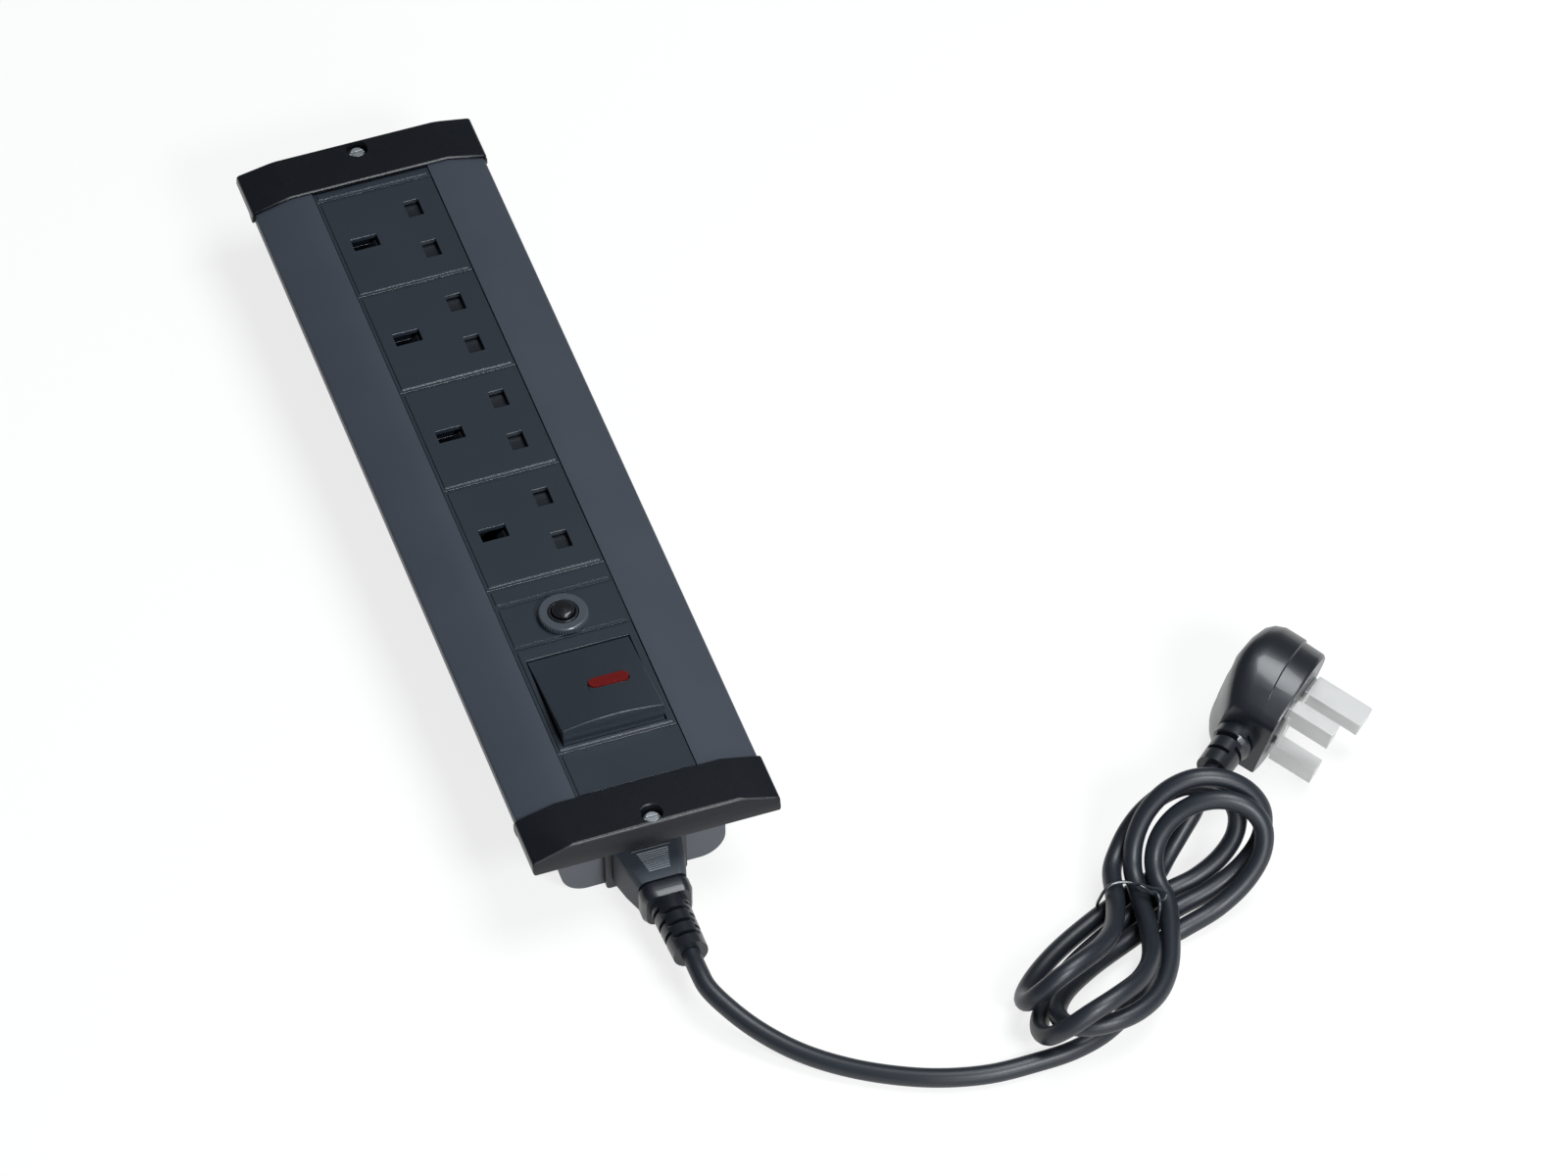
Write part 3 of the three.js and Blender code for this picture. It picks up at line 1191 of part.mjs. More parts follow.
function plugRelief() {
  const rings = [];
  const end = PLUG_HEEL - PLUG_RELIEF_LENGTH;
  [[PLUG_HEEL + OVERRUN, PLUG_RELIEF_ROOT], [PLUG_HEEL - PLUG_RELIEF_LENGTH / 4, PLUG_RELIEF_ROOT],
    [PLUG_HEEL - PLUG_RELIEF_LENGTH / 3, PLUG_RELIEF_TIP + CLEARANCE], [end, PLUG_RELIEF_TIP]]
    .forEach(([x, diameter]) => {
      const ring = [];
      for (let j = 0; j < RELIEF_SIDES; j += 1) {
        const angle = (j / RELIEF_SIDES) * 2 * Math.PI;
        ring.push(new THREE.Vector3(x, (diameter / 2) * Math.cos(angle),
          -PLUG_RELIEF_DEPTH + (diameter / 2) * Math.sin(angle)));
      }
      rings.push(ring);
    });
  return cut(loft(rings), ...plugReliefSlots());
}

// Quarter slots in four ranks, each rank half a pitch behind the one beside it.
function plugReliefSlots() {
  const slots = [];
  const pitch = (PLUG_RELIEF_LENGTH - RELIEF_SLOT) / (PLUG_RELIEF_SLOTS + 0.5);
  const inner = PLUG_RELIEF_TIP / 2 - RELIEF_SLOT_DEPTH;
  const reach = PLUG_RELIEF_TIP / 3;
  for (let i = 0; i < PLUG_RELIEF_SLOTS; i += 1) {
    for (let quarter = 0; quarter < 4; quarter += 1) {
      const x = PLUG_HEEL - RELIEF_SLOT - pitch * (i + (quarter % 2 ? 0.75 : 0.25));
      slots.push(block([0, inner, -reach], [RELIEF_SLOT, PLUG_RELIEF_ROOT, reach])
        .rotate([90 * quarter + PLUG_RANK_TURN, 0, 0]).translate([x, 0, -PLUG_RELIEF_DEPTH]));
    }
  }
  return slots;
}

function fuseCarrier() {
  const [length, width, depth] = FUSE_CARRIER;
  const x = FUSE_CARRIER_U;
  return block([x - length / 2, -width / 2, -depth], [x + length / 2, width / 2, 0]);
}

function fuse() {
  const [diameter, length] = FUSE;
  const z = -FUSE_CARRIER[2] - CLEARANCE - diameter / 2;
  const body = turned([[0, 0], [diameter / 2, 0], [diameter / 2, length / 4],
    [diameter / 2 - CLEARANCE / 2, length / 4 + CLEARANCE / 2],
    [diameter / 2 - CLEARANCE / 2, length - length / 4 - CLEARANCE / 2],
    [diameter / 2, length - length / 4], [diameter / 2, length], [0, length]], SMALL_ROUND_SIDES);
  return body.rotate([90, 0, 0]).translate([FUSE_CARRIER_U, length / 2, z]);
}

// The clear cover over the pins: a closed sleeve on each, joined by a thin web.
function pinCover() {
  const low = COVER_STANDOFF;
  const wall = COVER_WALL + CLEARANCE;
  const sleeve = (x, y, sizeX, sizeY, length) => plugPinSolid(x, y, sizeX, sizeY, low + wall,
    length + wall, wall);
  const bore = (x, y, sizeX, sizeY, length) =>
    plugPinSolid(x, y, sizeX, sizeY, low - OVERRUN, length + CLEARANCE, CLEARANCE);
  const line = [PIN_THICKNESS, LINE_PIN_WIDTH];
  const earth = [EARTH_PIN_WIDTH, PIN_THICKNESS];
  const web = COVER_WEB_WIDTH / 2;
  const across = block([-web, -PIN_SPACING / 2, low], [web, PIN_SPACING / 2, low + COVER_WEB]);
  const along = block([0, -web, low], [EARTH_OFFSET, web, low + COVER_WEB]);
  const sleeves = linePlaces().map((y) => sleeve(0, y, ...line, LINE_PIN_LENGTH));
  const bores = linePlaces().map((y) => bore(0, y, ...line, LINE_PIN_LENGTH));
  sleeves.push(sleeve(EARTH_OFFSET, 0, ...earth, EARTH_PIN_LENGTH));
  bores.push(bore(EARTH_OFFSET, 0, ...earth, EARTH_PIN_LENGTH));
  return cut(join(across, along, ...sleeves), ...bores);
}

// Cord

function vector([x, y, z]) {
  return new THREE.Vector3(x, y, z);
}

function tube(curve, steps, sides, diameter = CORD_DIAMETER) {
  const section = new THREE.Shape();
  for (let i = 0; i < sides; i += 1) {
    const angle = (i / sides) * 2 * Math.PI;
    const method = i ? "lineTo" : "moveTo";
    section[method]((diameter / 2) * Math.cos(angle), (diameter / 2) * Math.sin(angle));
  }
  const geometry = new THREE.ExtrudeGeometry(section, { steps, extrudePath: curve, bevelEnabled: false });
  return solidOf(geometry);
}

function cord(points) {
  const curve = new THREE.CatmullRomCurve3(points.map(vector));
  return tube(curve, Math.round(curve.getLength() / CORD_STEP), CORD_SIDES);
}

// A point of the hank from its place along the hank, across it, and its height.
function hankPlace(along, across, height) {
  const turn = new THREE.Vector2(along, across).rotateAround(new THREE.Vector2(), HANK_HEADING);
  return [HANK_CENTRE[0] + turn.x, HANK_CENTRE[1] + turn.y, height];
}

// A point of one turn; the angle goes from -90 degrees, below the waist, through the tip of the upper
// loop at 0 and the crossing above the waist at 90 to the next start at 270.
function hankPoint(turn, next, angle) {
  const c = Math.cos(angle);
  const twice = Math.sin(2 * angle);
  const share = (1 + Math.sin(angle)) / 2;
  const rise = (1 + Math.tanh(HANK_STEEP_SHARE * Math.sin(angle)) / Math.tanh(HANK_STEEP_SHARE)) / 2;
  const lobe = c >= 0 ? turn.upper : turn.lower;
  const [along, across] = c >= 0 ? turn.below : next;
  const curl = c >= 0 ? 0 : lobe.curl * Math.sin(4 * angle);
  return hankPlace(
    along + (turn.above[0] - along) * share + lobe.reach * c + lobe.lean * twice,
    across + (turn.above[1] - across) * share + lobe.spread * twice + lobe.shift * c + curl,
    HANK_LOW + (HANK_HIGH - HANK_LOW) * rise + lobe.lift * c * c + lobe.tilt * c * twice);
}

function hankPoints() {
  const points = [];
  HANK_TURNS.forEach((turn, i) => {
    const next = i + 1 < HANK_TURNS.length ? HANK_TURNS[i + 1].below : HANK_END;
    for (let j = 0; j < HANK_STEPS; j += 1) {
      points.push(hankPoint(turn, next, (j / HANK_STEPS - 1 / 4) * 2 * Math.PI));
    }
  });
  points.push(hankPlace(...HANK_END, HANK_LOW));
  return points;
}

// The point `distance` before the first of two points, on their line.
function straightOn(first, second, distance) {
  const start = vector(first);
  return start.add(start.clone().sub(vector(second)).setLength(distance)).toArray();
}

// The least distance between stretches of a tube that are not next to each other.
function leastGap(curve, diameter) {
  const count = HANK_STEPS * HANK_TURNS.length * CORD_SIDES;
  const points = curve.getSpacedPoints(count);
  const apart = Math.ceil((count * Math.PI * diameter) / curve.getLength());
  let least = Infinity;
  points.forEach((point, i) => {
    for (let j = i + apart; j < points.length; j += 1) least = Math.min(least, point.distanceTo(points[j]));
  });
  return least - diameter;
}

// Assembly

add("housing_extrusion", housing(), painted);
add("far_end_cap", endCap(), capPlastic);
add("near_end_cap", endCap().rotate([0, 0, 180]), capPlastic);
add("far_cap_screw", capScrew(), darkSteel);
add("near_cap_screw", capScrew().rotate([0, 0, 180]), darkSteel);
add("far_end_plate", endPlate(), platePaint);
add("near_end_plate", nearEndPlate(), platePaint);

add("filler_strip_far", clipPlate(rowTop, rowEnd), modulePlastic);
for (let i = 0; i < SOCKET_COUNT; i += 1) {
  const centre = socketCentre(i);
  add(`socket_${i + 1}`, socket(centre), modulePlastic);
  add(`socket_base_${i + 1}`, socketBase(centre), innerPlastic);
  add(`contact_block_${i + 1}`, contactBlock(centre), innerPlastic);
  add(`shutter_${i + 1}`, shutter(centre), blackPlastic);
}
add("live_bus_bar", busBar(LIVE_BUS_X, 0), brass);
add("neutral_bus_bar", busBar(NEUTRAL_BUS_X, 1), brass);
add("earth_bus_bar", busBar(earthBusX, -1), brass);
add("filler_strip_middle", clipPlate(breakerPlateTopY, breakerPlateTopY + MIDDLE_FILLER_LENGTH),
  modulePlastic);
add("breaker_plate", breakerPlate(), modulePlastic);
add("breaker_body", breakerBody(), blackPlastic);
add("breaker_terminal_1", breakerTerminal(-1), brass);
add("breaker_terminal_2", breakerTerminal(1), brass);
add("breaker_nut", breakerNut(), blackPlastic);
add("reset_button", resetButton(), blackPlastic);
add("switch_frame", switchFrame(), modulePlastic);
add("switch_rocker", rocker(), modulePlastic);
const lensGroup = new THREE.Group();
lensGroup.position.set(LENS_X, LENS_Y, lensSeat());
lensGroup.rotation.x = -rockerTilt;
power_strip.add(lensGroup);
add("neon_lens", lensSolid(0, LENS_DEPTH), lensRed, lensGroup);
add("blanking_plate", clipPlate(-rowEnd, switchLowY), modulePlastic);

add("inlet_body", inletBody(), blackPlastic);
const [livePlace, neutralPlace, earthPlace] = couplerPins();
add("inlet_pin_live", inletPin(livePlace), steel);
add("inlet_pin_neutral", inletPin(neutralPlace), steel);
add("inlet_pin_earth", inletPin(earthPlace), steel);
add("connector_body", connector(), blackPlastic);

power_strip.add(plug);
add("plug_body", plugBody(), blackPlastic, plug);
const [liveSide, neutralSide] = linePlaces();
add("plug_pin_live", plugPin(0, liveSide, PIN_THICKNESS, LINE_PIN_WIDTH, LINE_PIN_LENGTH), steel, plug);
add("plug_pin_neutral", plugPin(0, neutralSide, PIN_THICKNESS, LINE_PIN_WIDTH, LINE_PIN_LENGTH), steel, plug);
add("plug_pin_earth", plugPin(EARTH_OFFSET, 0, EARTH_PIN_WIDTH, PIN_THICKNESS, EARTH_PIN_LENGTH), steel,
  plug);
add("fuse_carrier", fuseCarrier(), blackPlastic, plug);
add("fuse", fuse(), ceramic, plug);
add("pin_cover", pinCover(), clearCover, plug);

// The lead meets the hank end to end, each end straight for one diameter.
const waist = hankPoints();
const hankStart = straightOn(waist[0], waist[1], CORD_DIAMETER);
const hankFinish = straightOn(waist[waist.length - 1], waist[waist.length - 2], CORD_DIAMETER);
const hankCurve = new THREE.CatmullRomCurve3([hankStart, ...waist, hankFinish].map(vector));
console.log("least gap between strands of the hank, mm", leastGap(hankCurve, CORD_DIAMETER).toFixed(2));
add("cord_hank", tube(hankCurve, HANK_STEPS * HANK_TURNS.length + 2, HANK_SIDES), cordRubber);

const runStart = [0, reliefEndY - CLEARANCE, reliefEndZ];
const runFinish = straightOn(hankStart, waist[0], CLEARANCE);
add("cord_run", cord([runStart, ...CORD_RUN_ROUTE, straightOn(hankStart, waist[0], CORD_DIAMETER),
  runFinish]),
  cordRubber);

plug.updateMatrixWorld(true);
const heel = PLUG_HEEL - PLUG_RELIEF_LENGTH - CLEARANCE;
const tailEnds = [heel - CORD_DIAMETER, heel]
  .map((x) => plug.localToWorld(vector([x, 0, -PLUG_RELIEF_DEPTH])).toArray());
const tailStart = [CLEARANCE, CORD_DIAMETER].map((gap) => straightOn(hankFinish, waist[waist.length - 1],
  gap));
add("cord_tail", cord([...tailStart, ...CORD_TAIL_ROUTE, ...tailEnds]), cordRubber);

const tieCurve = new THREE.CatmullRomCurve3(TIE_ROUTE.map((place) => vector(hankPlace(...place))));
add("twist_tie", tube(tieCurve, Math.round(tieCurve.getLength() / TIE_STEP), TIE_SIDES, TIE_DIAMETER),
  blackPlastic);

export default power_strip;
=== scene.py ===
# %% [markdown]
# A desk power strip with four sockets, a breaker, a rocker switch and a mains lead. The working
# model comes in as a fixed frame, and this script dresses it: finer shapes over the plain solids,
# and a procedural finish for every surface. Blender works in metres here.

# %% The frame
import json
import math
import bmesh
import bpy
from mathutils import Matrix, Quaternion, Vector


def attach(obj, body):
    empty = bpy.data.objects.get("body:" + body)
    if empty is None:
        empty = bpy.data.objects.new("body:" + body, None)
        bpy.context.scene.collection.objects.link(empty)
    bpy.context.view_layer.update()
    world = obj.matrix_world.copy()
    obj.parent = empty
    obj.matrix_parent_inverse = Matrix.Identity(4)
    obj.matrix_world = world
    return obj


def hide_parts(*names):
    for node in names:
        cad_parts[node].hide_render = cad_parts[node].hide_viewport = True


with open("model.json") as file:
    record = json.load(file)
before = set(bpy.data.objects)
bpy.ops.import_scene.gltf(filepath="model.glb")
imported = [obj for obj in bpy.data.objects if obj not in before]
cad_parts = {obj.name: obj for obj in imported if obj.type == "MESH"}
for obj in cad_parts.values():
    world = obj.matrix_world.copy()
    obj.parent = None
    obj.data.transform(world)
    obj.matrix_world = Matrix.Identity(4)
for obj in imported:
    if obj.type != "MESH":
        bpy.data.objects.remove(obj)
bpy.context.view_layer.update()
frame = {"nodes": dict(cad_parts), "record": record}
MM = 0.001
body_of = {}
for body, facts in frame["record"]["behaviour"]["bodies"].items():
    for node in facts["nodes"] if isinstance(facts, dict) else facts:
        body_of[node] = body

# %% [markdown]
# The camera comes first. Its direction and distance were worked out from the spacing of the socket
# slots, which a standard fixes. A long lens from three metres away gives the same weak perspective.

# %% Camera
SENSOR_WIDTH = 36.0
FARTHEST_SEEN = 30.0


def aim_camera(target, azimuth, elevation, roll, distance, pixels_across, pixels_focal):
    a, e = math.radians(azimuth), math.radians(elevation)
    back = Vector((math.sin(a) * math.cos(e), -math.cos(a) * math.cos(e), math.sin(e)))
    right = Vector((math.cos(a), math.sin(a), 0.0))
    up = back.cross(right)
    turn = Matrix((right, up, back)).transposed().to_4x4()
    data = bpy.data.cameras.new("viewpoint")
    data.sensor_width = SENSOR_WIDTH
    data.lens = SENSOR_WIDTH * pixels_focal / pixels_across
    data.clip_end = FARTHEST_SEEN
    camera = bpy.data.objects.new("viewpoint", data)
    camera.matrix_world = Matrix.Translation(target + back * distance) @ turn @ Matrix.Rotation(
        math.radians(roll), 4, "Z")
    bpy.context.scene.collection.objects.link(camera)
    bpy.context.scene.camera = camera
    return camera


camera = aim_camera(target=Vector((0.0794, -0.0882, 0.044)), azimuth=-18.72, elevation=48.35,
                    roll=-0.65, distance=3.261, pixels_across=1600, pixels_focal=9208)
bpy.context.scene.view_settings.view_transform = "Standard"
print("camera at", [round(v, 3) for v in camera.matrix_world.translation])

# %% [markdown]
# A product photograph like this is lit by large soft boxes on a white sweep. A wide pale floor
# catches a soft shadow. The world is plain white to the camera and through clear plastic. As a
# light and in reflections it is dim and a little cool, so that black plastic stays dark and its
# bright soft bands come from the three lamps.

# %% Floor and light
FLOOR_HALF_WIDTH = 6.0
FLOOR_COLOUR = (0.88, 0.87, 0.85, 1)
FLOOR_GLOW_SEEN, FLOOR_GLOW_MIRRORED = 0.8, 0.75
WORLD_LEVEL, WORLD_WHITE_IN_GLOSS = 0.11, 0.06
WORLD_TINT = (0.88, 0.94, 1.0, 1)
LAMP_COLOUR = (0.93, 0.97, 1.0)


def new_material(name):
    material = bpy.data.materials.new(name)
    material.use_nodes = True
    material.node_tree.nodes.clear()
    return material, material.node_tree.nodes, material.node_tree.links


def pale_floor():
    material, nodes, links = new_material("pale_floor")
    path = nodes.new("ShaderNodeLightPath")
    diffuse = nodes.new("ShaderNodeBsdfDiffuse")
    diffuse.inputs["Color"].default_value = FLOOR_COLOUR
    glow = nodes.new("ShaderNodeEmission")
    glow.inputs["Color"].default_value = (1, 1, 1, 1)
    seen = nodes.new("ShaderNodeMath")
    seen.operation = "MULTIPLY"
    seen.inputs[1].default_value = FLOOR_GLOW_SEEN
    mirrored = nodes.new("ShaderNodeMath")
    mirrored.operation = "MULTIPLY_ADD"
    mirrored.inputs[1].default_value = FLOOR_GLOW_MIRRORED
    mix = nodes.new("ShaderNodeMixShader")
    out = nodes.new("ShaderNodeOutputMaterial")
    links.new(path.outputs["Is Camera Ray"], seen.inputs[0])
    links.new(path.outputs["Is Glossy Ray"], mirrored.inputs[0])
    links.new(seen.outputs[0], mirrored.inputs[2])
    links.new(mirrored.outputs[0], mix.inputs[0])
    links.new(diffuse.outputs[0], mix.inputs[1])
    links.new(glow.outputs[0], mix.inputs[2])
    links.new(mix.outputs[0], out.inputs["Surface"])
    return material


def place_floor(size):
    mesh = bpy.data.meshes.new("floor")
    corners = [(-size, -size, 0), (size, -size, 0), (size, size, 0), (-size, size, 0)]
    mesh.from_pydata(corners, [], [(0, 1, 2, 3)])
    mesh.materials.append(pale_floor())
    floor = bpy.data.objects.new("floor", mesh)
    bpy.context.scene.collection.objects.link(floor)


def plain_world(light_level):
    world = bpy.data.worlds.new("plain_studio")
    bpy.context.scene.world = world
    world.use_nodes = True
    nodes, links = world.node_tree.nodes, world.node_tree.links
    nodes.clear()
    path = nodes.new("ShaderNodeLightPath")
    add = nodes.new("ShaderNodeMath")
    add.operation = "ADD"
    add.use_clamp = True
    add_more = nodes.new("ShaderNodeMath")
    add_more.operation = "ADD"
    add_more.use_clamp = True
    soft = nodes.new("ShaderNodeBackground")
    soft.inputs["Strength"].default_value = light_level
    soft.inputs["Color"].default_value = WORLD_TINT
    white = nodes.new("ShaderNodeBackground")
    white.inputs["Strength"].default_value = 1.0
    mix = nodes.new("ShaderNodeMixShader")
    out = nodes.new("ShaderNodeOutputWorld")
    links.new(path.outputs["Is Camera Ray"], add.inputs[0])
    links.new(path.outputs["Is Transmission Ray"], add.inputs[1])
    links.new(add.outputs[0], add_more.inputs[0])
    gloss = nodes.new("ShaderNodeMath")
    gloss.operation = "MULTIPLY"
    gloss.inputs[1].default_value = WORLD_WHITE_IN_GLOSS
    links.new(path.outputs["Is Glossy Ray"], gloss.inputs[0])
    links.new(gloss.outputs[0], add_more.inputs[1])
    links.new(add_more.outputs[0], mix.inputs[0])
    links.new(soft.outputs[0], mix.inputs[1])
    links.new(white.outputs[0], mix.inputs[2])
    links.new(mix.outputs[0], out.inputs["Surface"])


def soft_box(name, place, towards, size, power):
    data = bpy.data.lights.new(name, "AREA")
    data.shape = "RECTANGLE"
    data.size, data.size_y = size
    data.energy = power
    data.color = LAMP_COLOUR
    lamp = bpy.data.objects.new(name, data)
    lamp.location = place
    lamp.rotation_euler = (Vector(towards) - Vector(place)).to_track_quat("-Z", "Y").to_euler()
    bpy.context.scene.collection.objects.link(lamp)


place_floor(FLOOR_HALF_WIDTH)
plain_world(WORLD_LEVEL)
soft_box("overhead_box", (0.75, -0.2, 1.9), (0.05, -0.1, 0), (1.0, 0.9), 33)
soft_box("front_box", (0.5, -1.75, 1.45), (0.05, -0.15, 0), (0.6, 0.4), 34)
soft_box("low_box", (0.2, -2.1, 0.5), (0.05, -0.15, 0), (1.2, 0.6), 12)
print("floor, world and", len(bpy.data.lights), "soft boxes")

# %% [markdown]
# Most surfaces here are painted metal or moulded plastic. They share one recipe: a base colour
# with a faint drift in tone, a fine grain that roughens the gloss, and the same grain as a bump.
# What tells them apart is the size and depth of the grain and how glossy the skin is.

# %% Surface recipe
COAT_ROUGHNESS = 0.1
CLOUDS_PER_METRE = 28.0
FLECKS_FROM, FLECKS_TO = 0.35, 0.75
ROUGHNESS_SPREAD, LEAST_ROUGHNESS = 0.08, 0.03


def surface(name, colour, roughness, grain_mm, grain_depth, metallic=0.0, drift=0.12, coat=0.0,
            speckle=0.0, specular=0.5):
    material, nodes, links = new_material(name)
    where = nodes.new("ShaderNodeTexCoord")
    shader = nodes.new("ShaderNodeBsdfPrincipled")
    shader.inputs["Metallic"].default_value = metallic
    shader.inputs["Specular IOR Level"].default_value = specular
    shader.inputs["Coat Weight"].default_value = coat
    shader.inputs["Coat Roughness"].default_value = COAT_ROUGHNESS
    grain = nodes.new("ShaderNodeTexNoise")
    grain.inputs["Scale"].default_value = 1.0 / (grain_mm * MM)
    grain.inputs["Detail"].default_value = 3.0
    cloud = nodes.new("ShaderNodeTexNoise")
    cloud.inputs["Scale"].default_value = CLOUDS_PER_METRE
    cloud.inputs["Detail"].default_value = 2.0
    for texture in (grain, cloud):
        links.new(where.outputs["Object"], texture.inputs["Vector"])
    tone = nodes.new("ShaderNodeMix")
    tone.data_type = "RGBA"
    tone.inputs["A"].default_value = (*[c * (1 - drift) for c in colour], 1)
    tone.inputs["B"].default_value = (*[min(1, c * (1 + drift)) for c in colour], 1)
    links.new(cloud.outputs["Fac"], tone.inputs["Factor"])
    flecks = nodes.new("ShaderNodeMapRange")
    flecks.inputs["From Min"].default_value = FLECKS_FROM
    flecks.inputs["From Max"].default_value = FLECKS_TO
    flecks.inputs["To Min"].default_value = 1.0 - speckle
    flecks.inputs["To Max"].default_value = 1.0 + speckle
    links.new(grain.outputs["Fac"], flecks.inputs["Value"])
    paint = nodes.new("ShaderNodeMix")
    paint.data_type = "RGBA"
    paint.blend_type = "MULTIPLY"
    paint.inputs["Factor"].default_value = 1.0
    links.new(tone.outputs["Result"], paint.inputs["A"])
    links.new(flecks.outputs["Result"], paint.inputs["B"])
    links.new(paint.outputs["Result"], shader.inputs["Base Color"])
    skin = nodes.new("ShaderNodeMapRange")
    skin.inputs["To Min"].default_value = max(LEAST_ROUGHNESS, roughness - ROUGHNESS_SPREAD)
    skin.inputs["To Max"].default_value = min(1.0, roughness + ROUGHNESS_SPREAD)
    links.new(grain.outputs["Fac"], skin.inputs["Value"])
    links.new(skin.outputs["Result"], shader.inputs["Roughness"])
    bump = nodes.new("ShaderNodeBump")
    bump.inputs["Strength"].default_value = grain_depth
    bump.inputs["Distance"].default_value = grain_mm * MM * 0.5
    links.new(grain.outputs["Fac"], bump.inputs["Height"])
    links.new(bump.outputs["Normal"], shader.inputs["Normal"])
    out = nodes.new("ShaderNodeOutputMaterial")
    links.new(shader.outputs[0], out.inputs["Surface"])
    return material


def linear(code):
    """A hexadecimal colour as the linear numbers that a shader takes."""
    channels = [int(code[i:i + 2], 16) / 255 for i in (1, 3, 5)]
    return [c / 12.92 if c <= 0.04045 else ((c + 0.055) / 1.055) ** 2.4 for c in channels]


painted_metal = surface("painted_metal", linear("#383d46"), 0.42, 0.25, 0.12, speckle=0.05)
cap_plastic = surface("cap_plastic", linear("#0a0e15"), 0.34, 0.35, 0.15, speckle=0.6, specular=0.4)
end_plate_paint = surface("end_plate_paint", linear("#4b4e54"), 0.5, 0.3, 0.15, speckle=0.08)
module_plastic = surface("module_plastic", linear("#242b33"), 0.4, 0.22, 0.06, speckle=0.08,
                         coat=0.3, specular=0.4)
socket_inside = surface("socket_inside", linear("#d9d6cc"), 0.55, 0.4, 0.1)
black_plastic = surface("black_plastic", linear("#14181e"), 0.36, 0.25, 0.04, coat=0.2)
# The matt grip's roughness is real; its lighter grey is painted light on its top under the cap.
connector_plastic = surface("connector_plastic", linear("#2f353c"), 0.55, 0.25, 0.1)
# The ribs are the connector's own dark plastic; this light grey is a painted highlight on their
# crests.
rib_plastic = surface("rib_plastic", linear("#6a7076"), 0.45, 0.3, 0.05)
nut_plastic = surface("nut_plastic", linear("#3b4148"), 0.4, 0.2, 0.1, coat=0.5)
gloss_plastic = surface("gloss_plastic", linear("#0b0d11"), 0.3, 0.3, 0.03, coat=0.6, specular=0.3)
lead_rubber = surface("lead_rubber", linear("#191e25"), 0.42, 0.6, 0.01, drift=0.2)
screw_steel = surface("screw_steel", linear("#a2a7ab"), 0.42, 0.1, 0.08, metallic=0.7)
pin_steel = surface("pin_steel", linear("#d4d5d6"), 0.3, 0.2, 0.06, metallic=0.9)
contact_brass = surface("contact_brass", linear("#c8a24c"), 0.3, 0.2, 0.06, metallic=1.0)
fuse_ceramic = surface("fuse_ceramic", linear("#e8e4da"), 0.45, 0.3, 0.08)
wire_coat = surface("wire_coat", linear("#2a2f35"), 0.25, 0.4, 0.04, coat=0.6)
print(len(bpy.data.materials), "finishes")


# %% [markdown]
# The neon lens is clear red plastic over a lamp, so it is a saturated dark red that still lets
# some light in. The pin cover is milky: it passes light but blurs it. Both use the same shader
# with transmission turned up, and a tint from the plastic.

# %% Clear plastics
def clear_plastic(name, colour, roughness, transmission, grain_mm):
    material, nodes, links = new_material(name)
    where = nodes.new("ShaderNodeTexCoord")
    cloud = nodes.new("ShaderNodeTexNoise")
    cloud.inputs["Scale"].default_value = 1.0 / (grain_mm * MM)
    links.new(where.outputs["Object"], cloud.inputs["Vector"])
    tone = nodes.new("ShaderNodeMix")
    tone.data_type = "RGBA"
    tone.inputs["A"].default_value = (*[c * 0.9 for c in colour], 1)
    tone.inputs["B"].default_value = (*colour, 1)
    links.new(cloud.outputs["Fac"], tone.inputs["Factor"])
    shader = nodes.new("ShaderNodeBsdfPrincipled")
    shader.inputs["Roughness"].default_value = roughness
    shader.inputs["Transmission Weight"].default_value = transmission
    shader.inputs["IOR"].default_value = 1.45
    links.new(tone.outputs["Result"], shader.inputs["Base Color"])
    bump = nodes.new("ShaderNodeBump")
    bump.inputs["Strength"].default_value = 0.05
    bump.inputs["Distance"].default_value = 0.0002
    links.new(cloud.outputs["Fac"], bump.inputs["Height"])
    links.new(bump.outputs["Normal"], shader.inputs["Normal"])
    out = nodes.new("ShaderNodeOutputMaterial")
    links.new(shader.outputs[0], out.inputs["Surface"])
    return material


lens_red = clear_plastic("lens_red", linear("#6a100c"), 0.25, 0.1, 1.0)
cover_milky = clear_plastic("cover_milky", linear("#e6e5e3"), 0.3, 0.5, 6.0)
print("clear plastics:", lens_red.name, cover_milky.name)
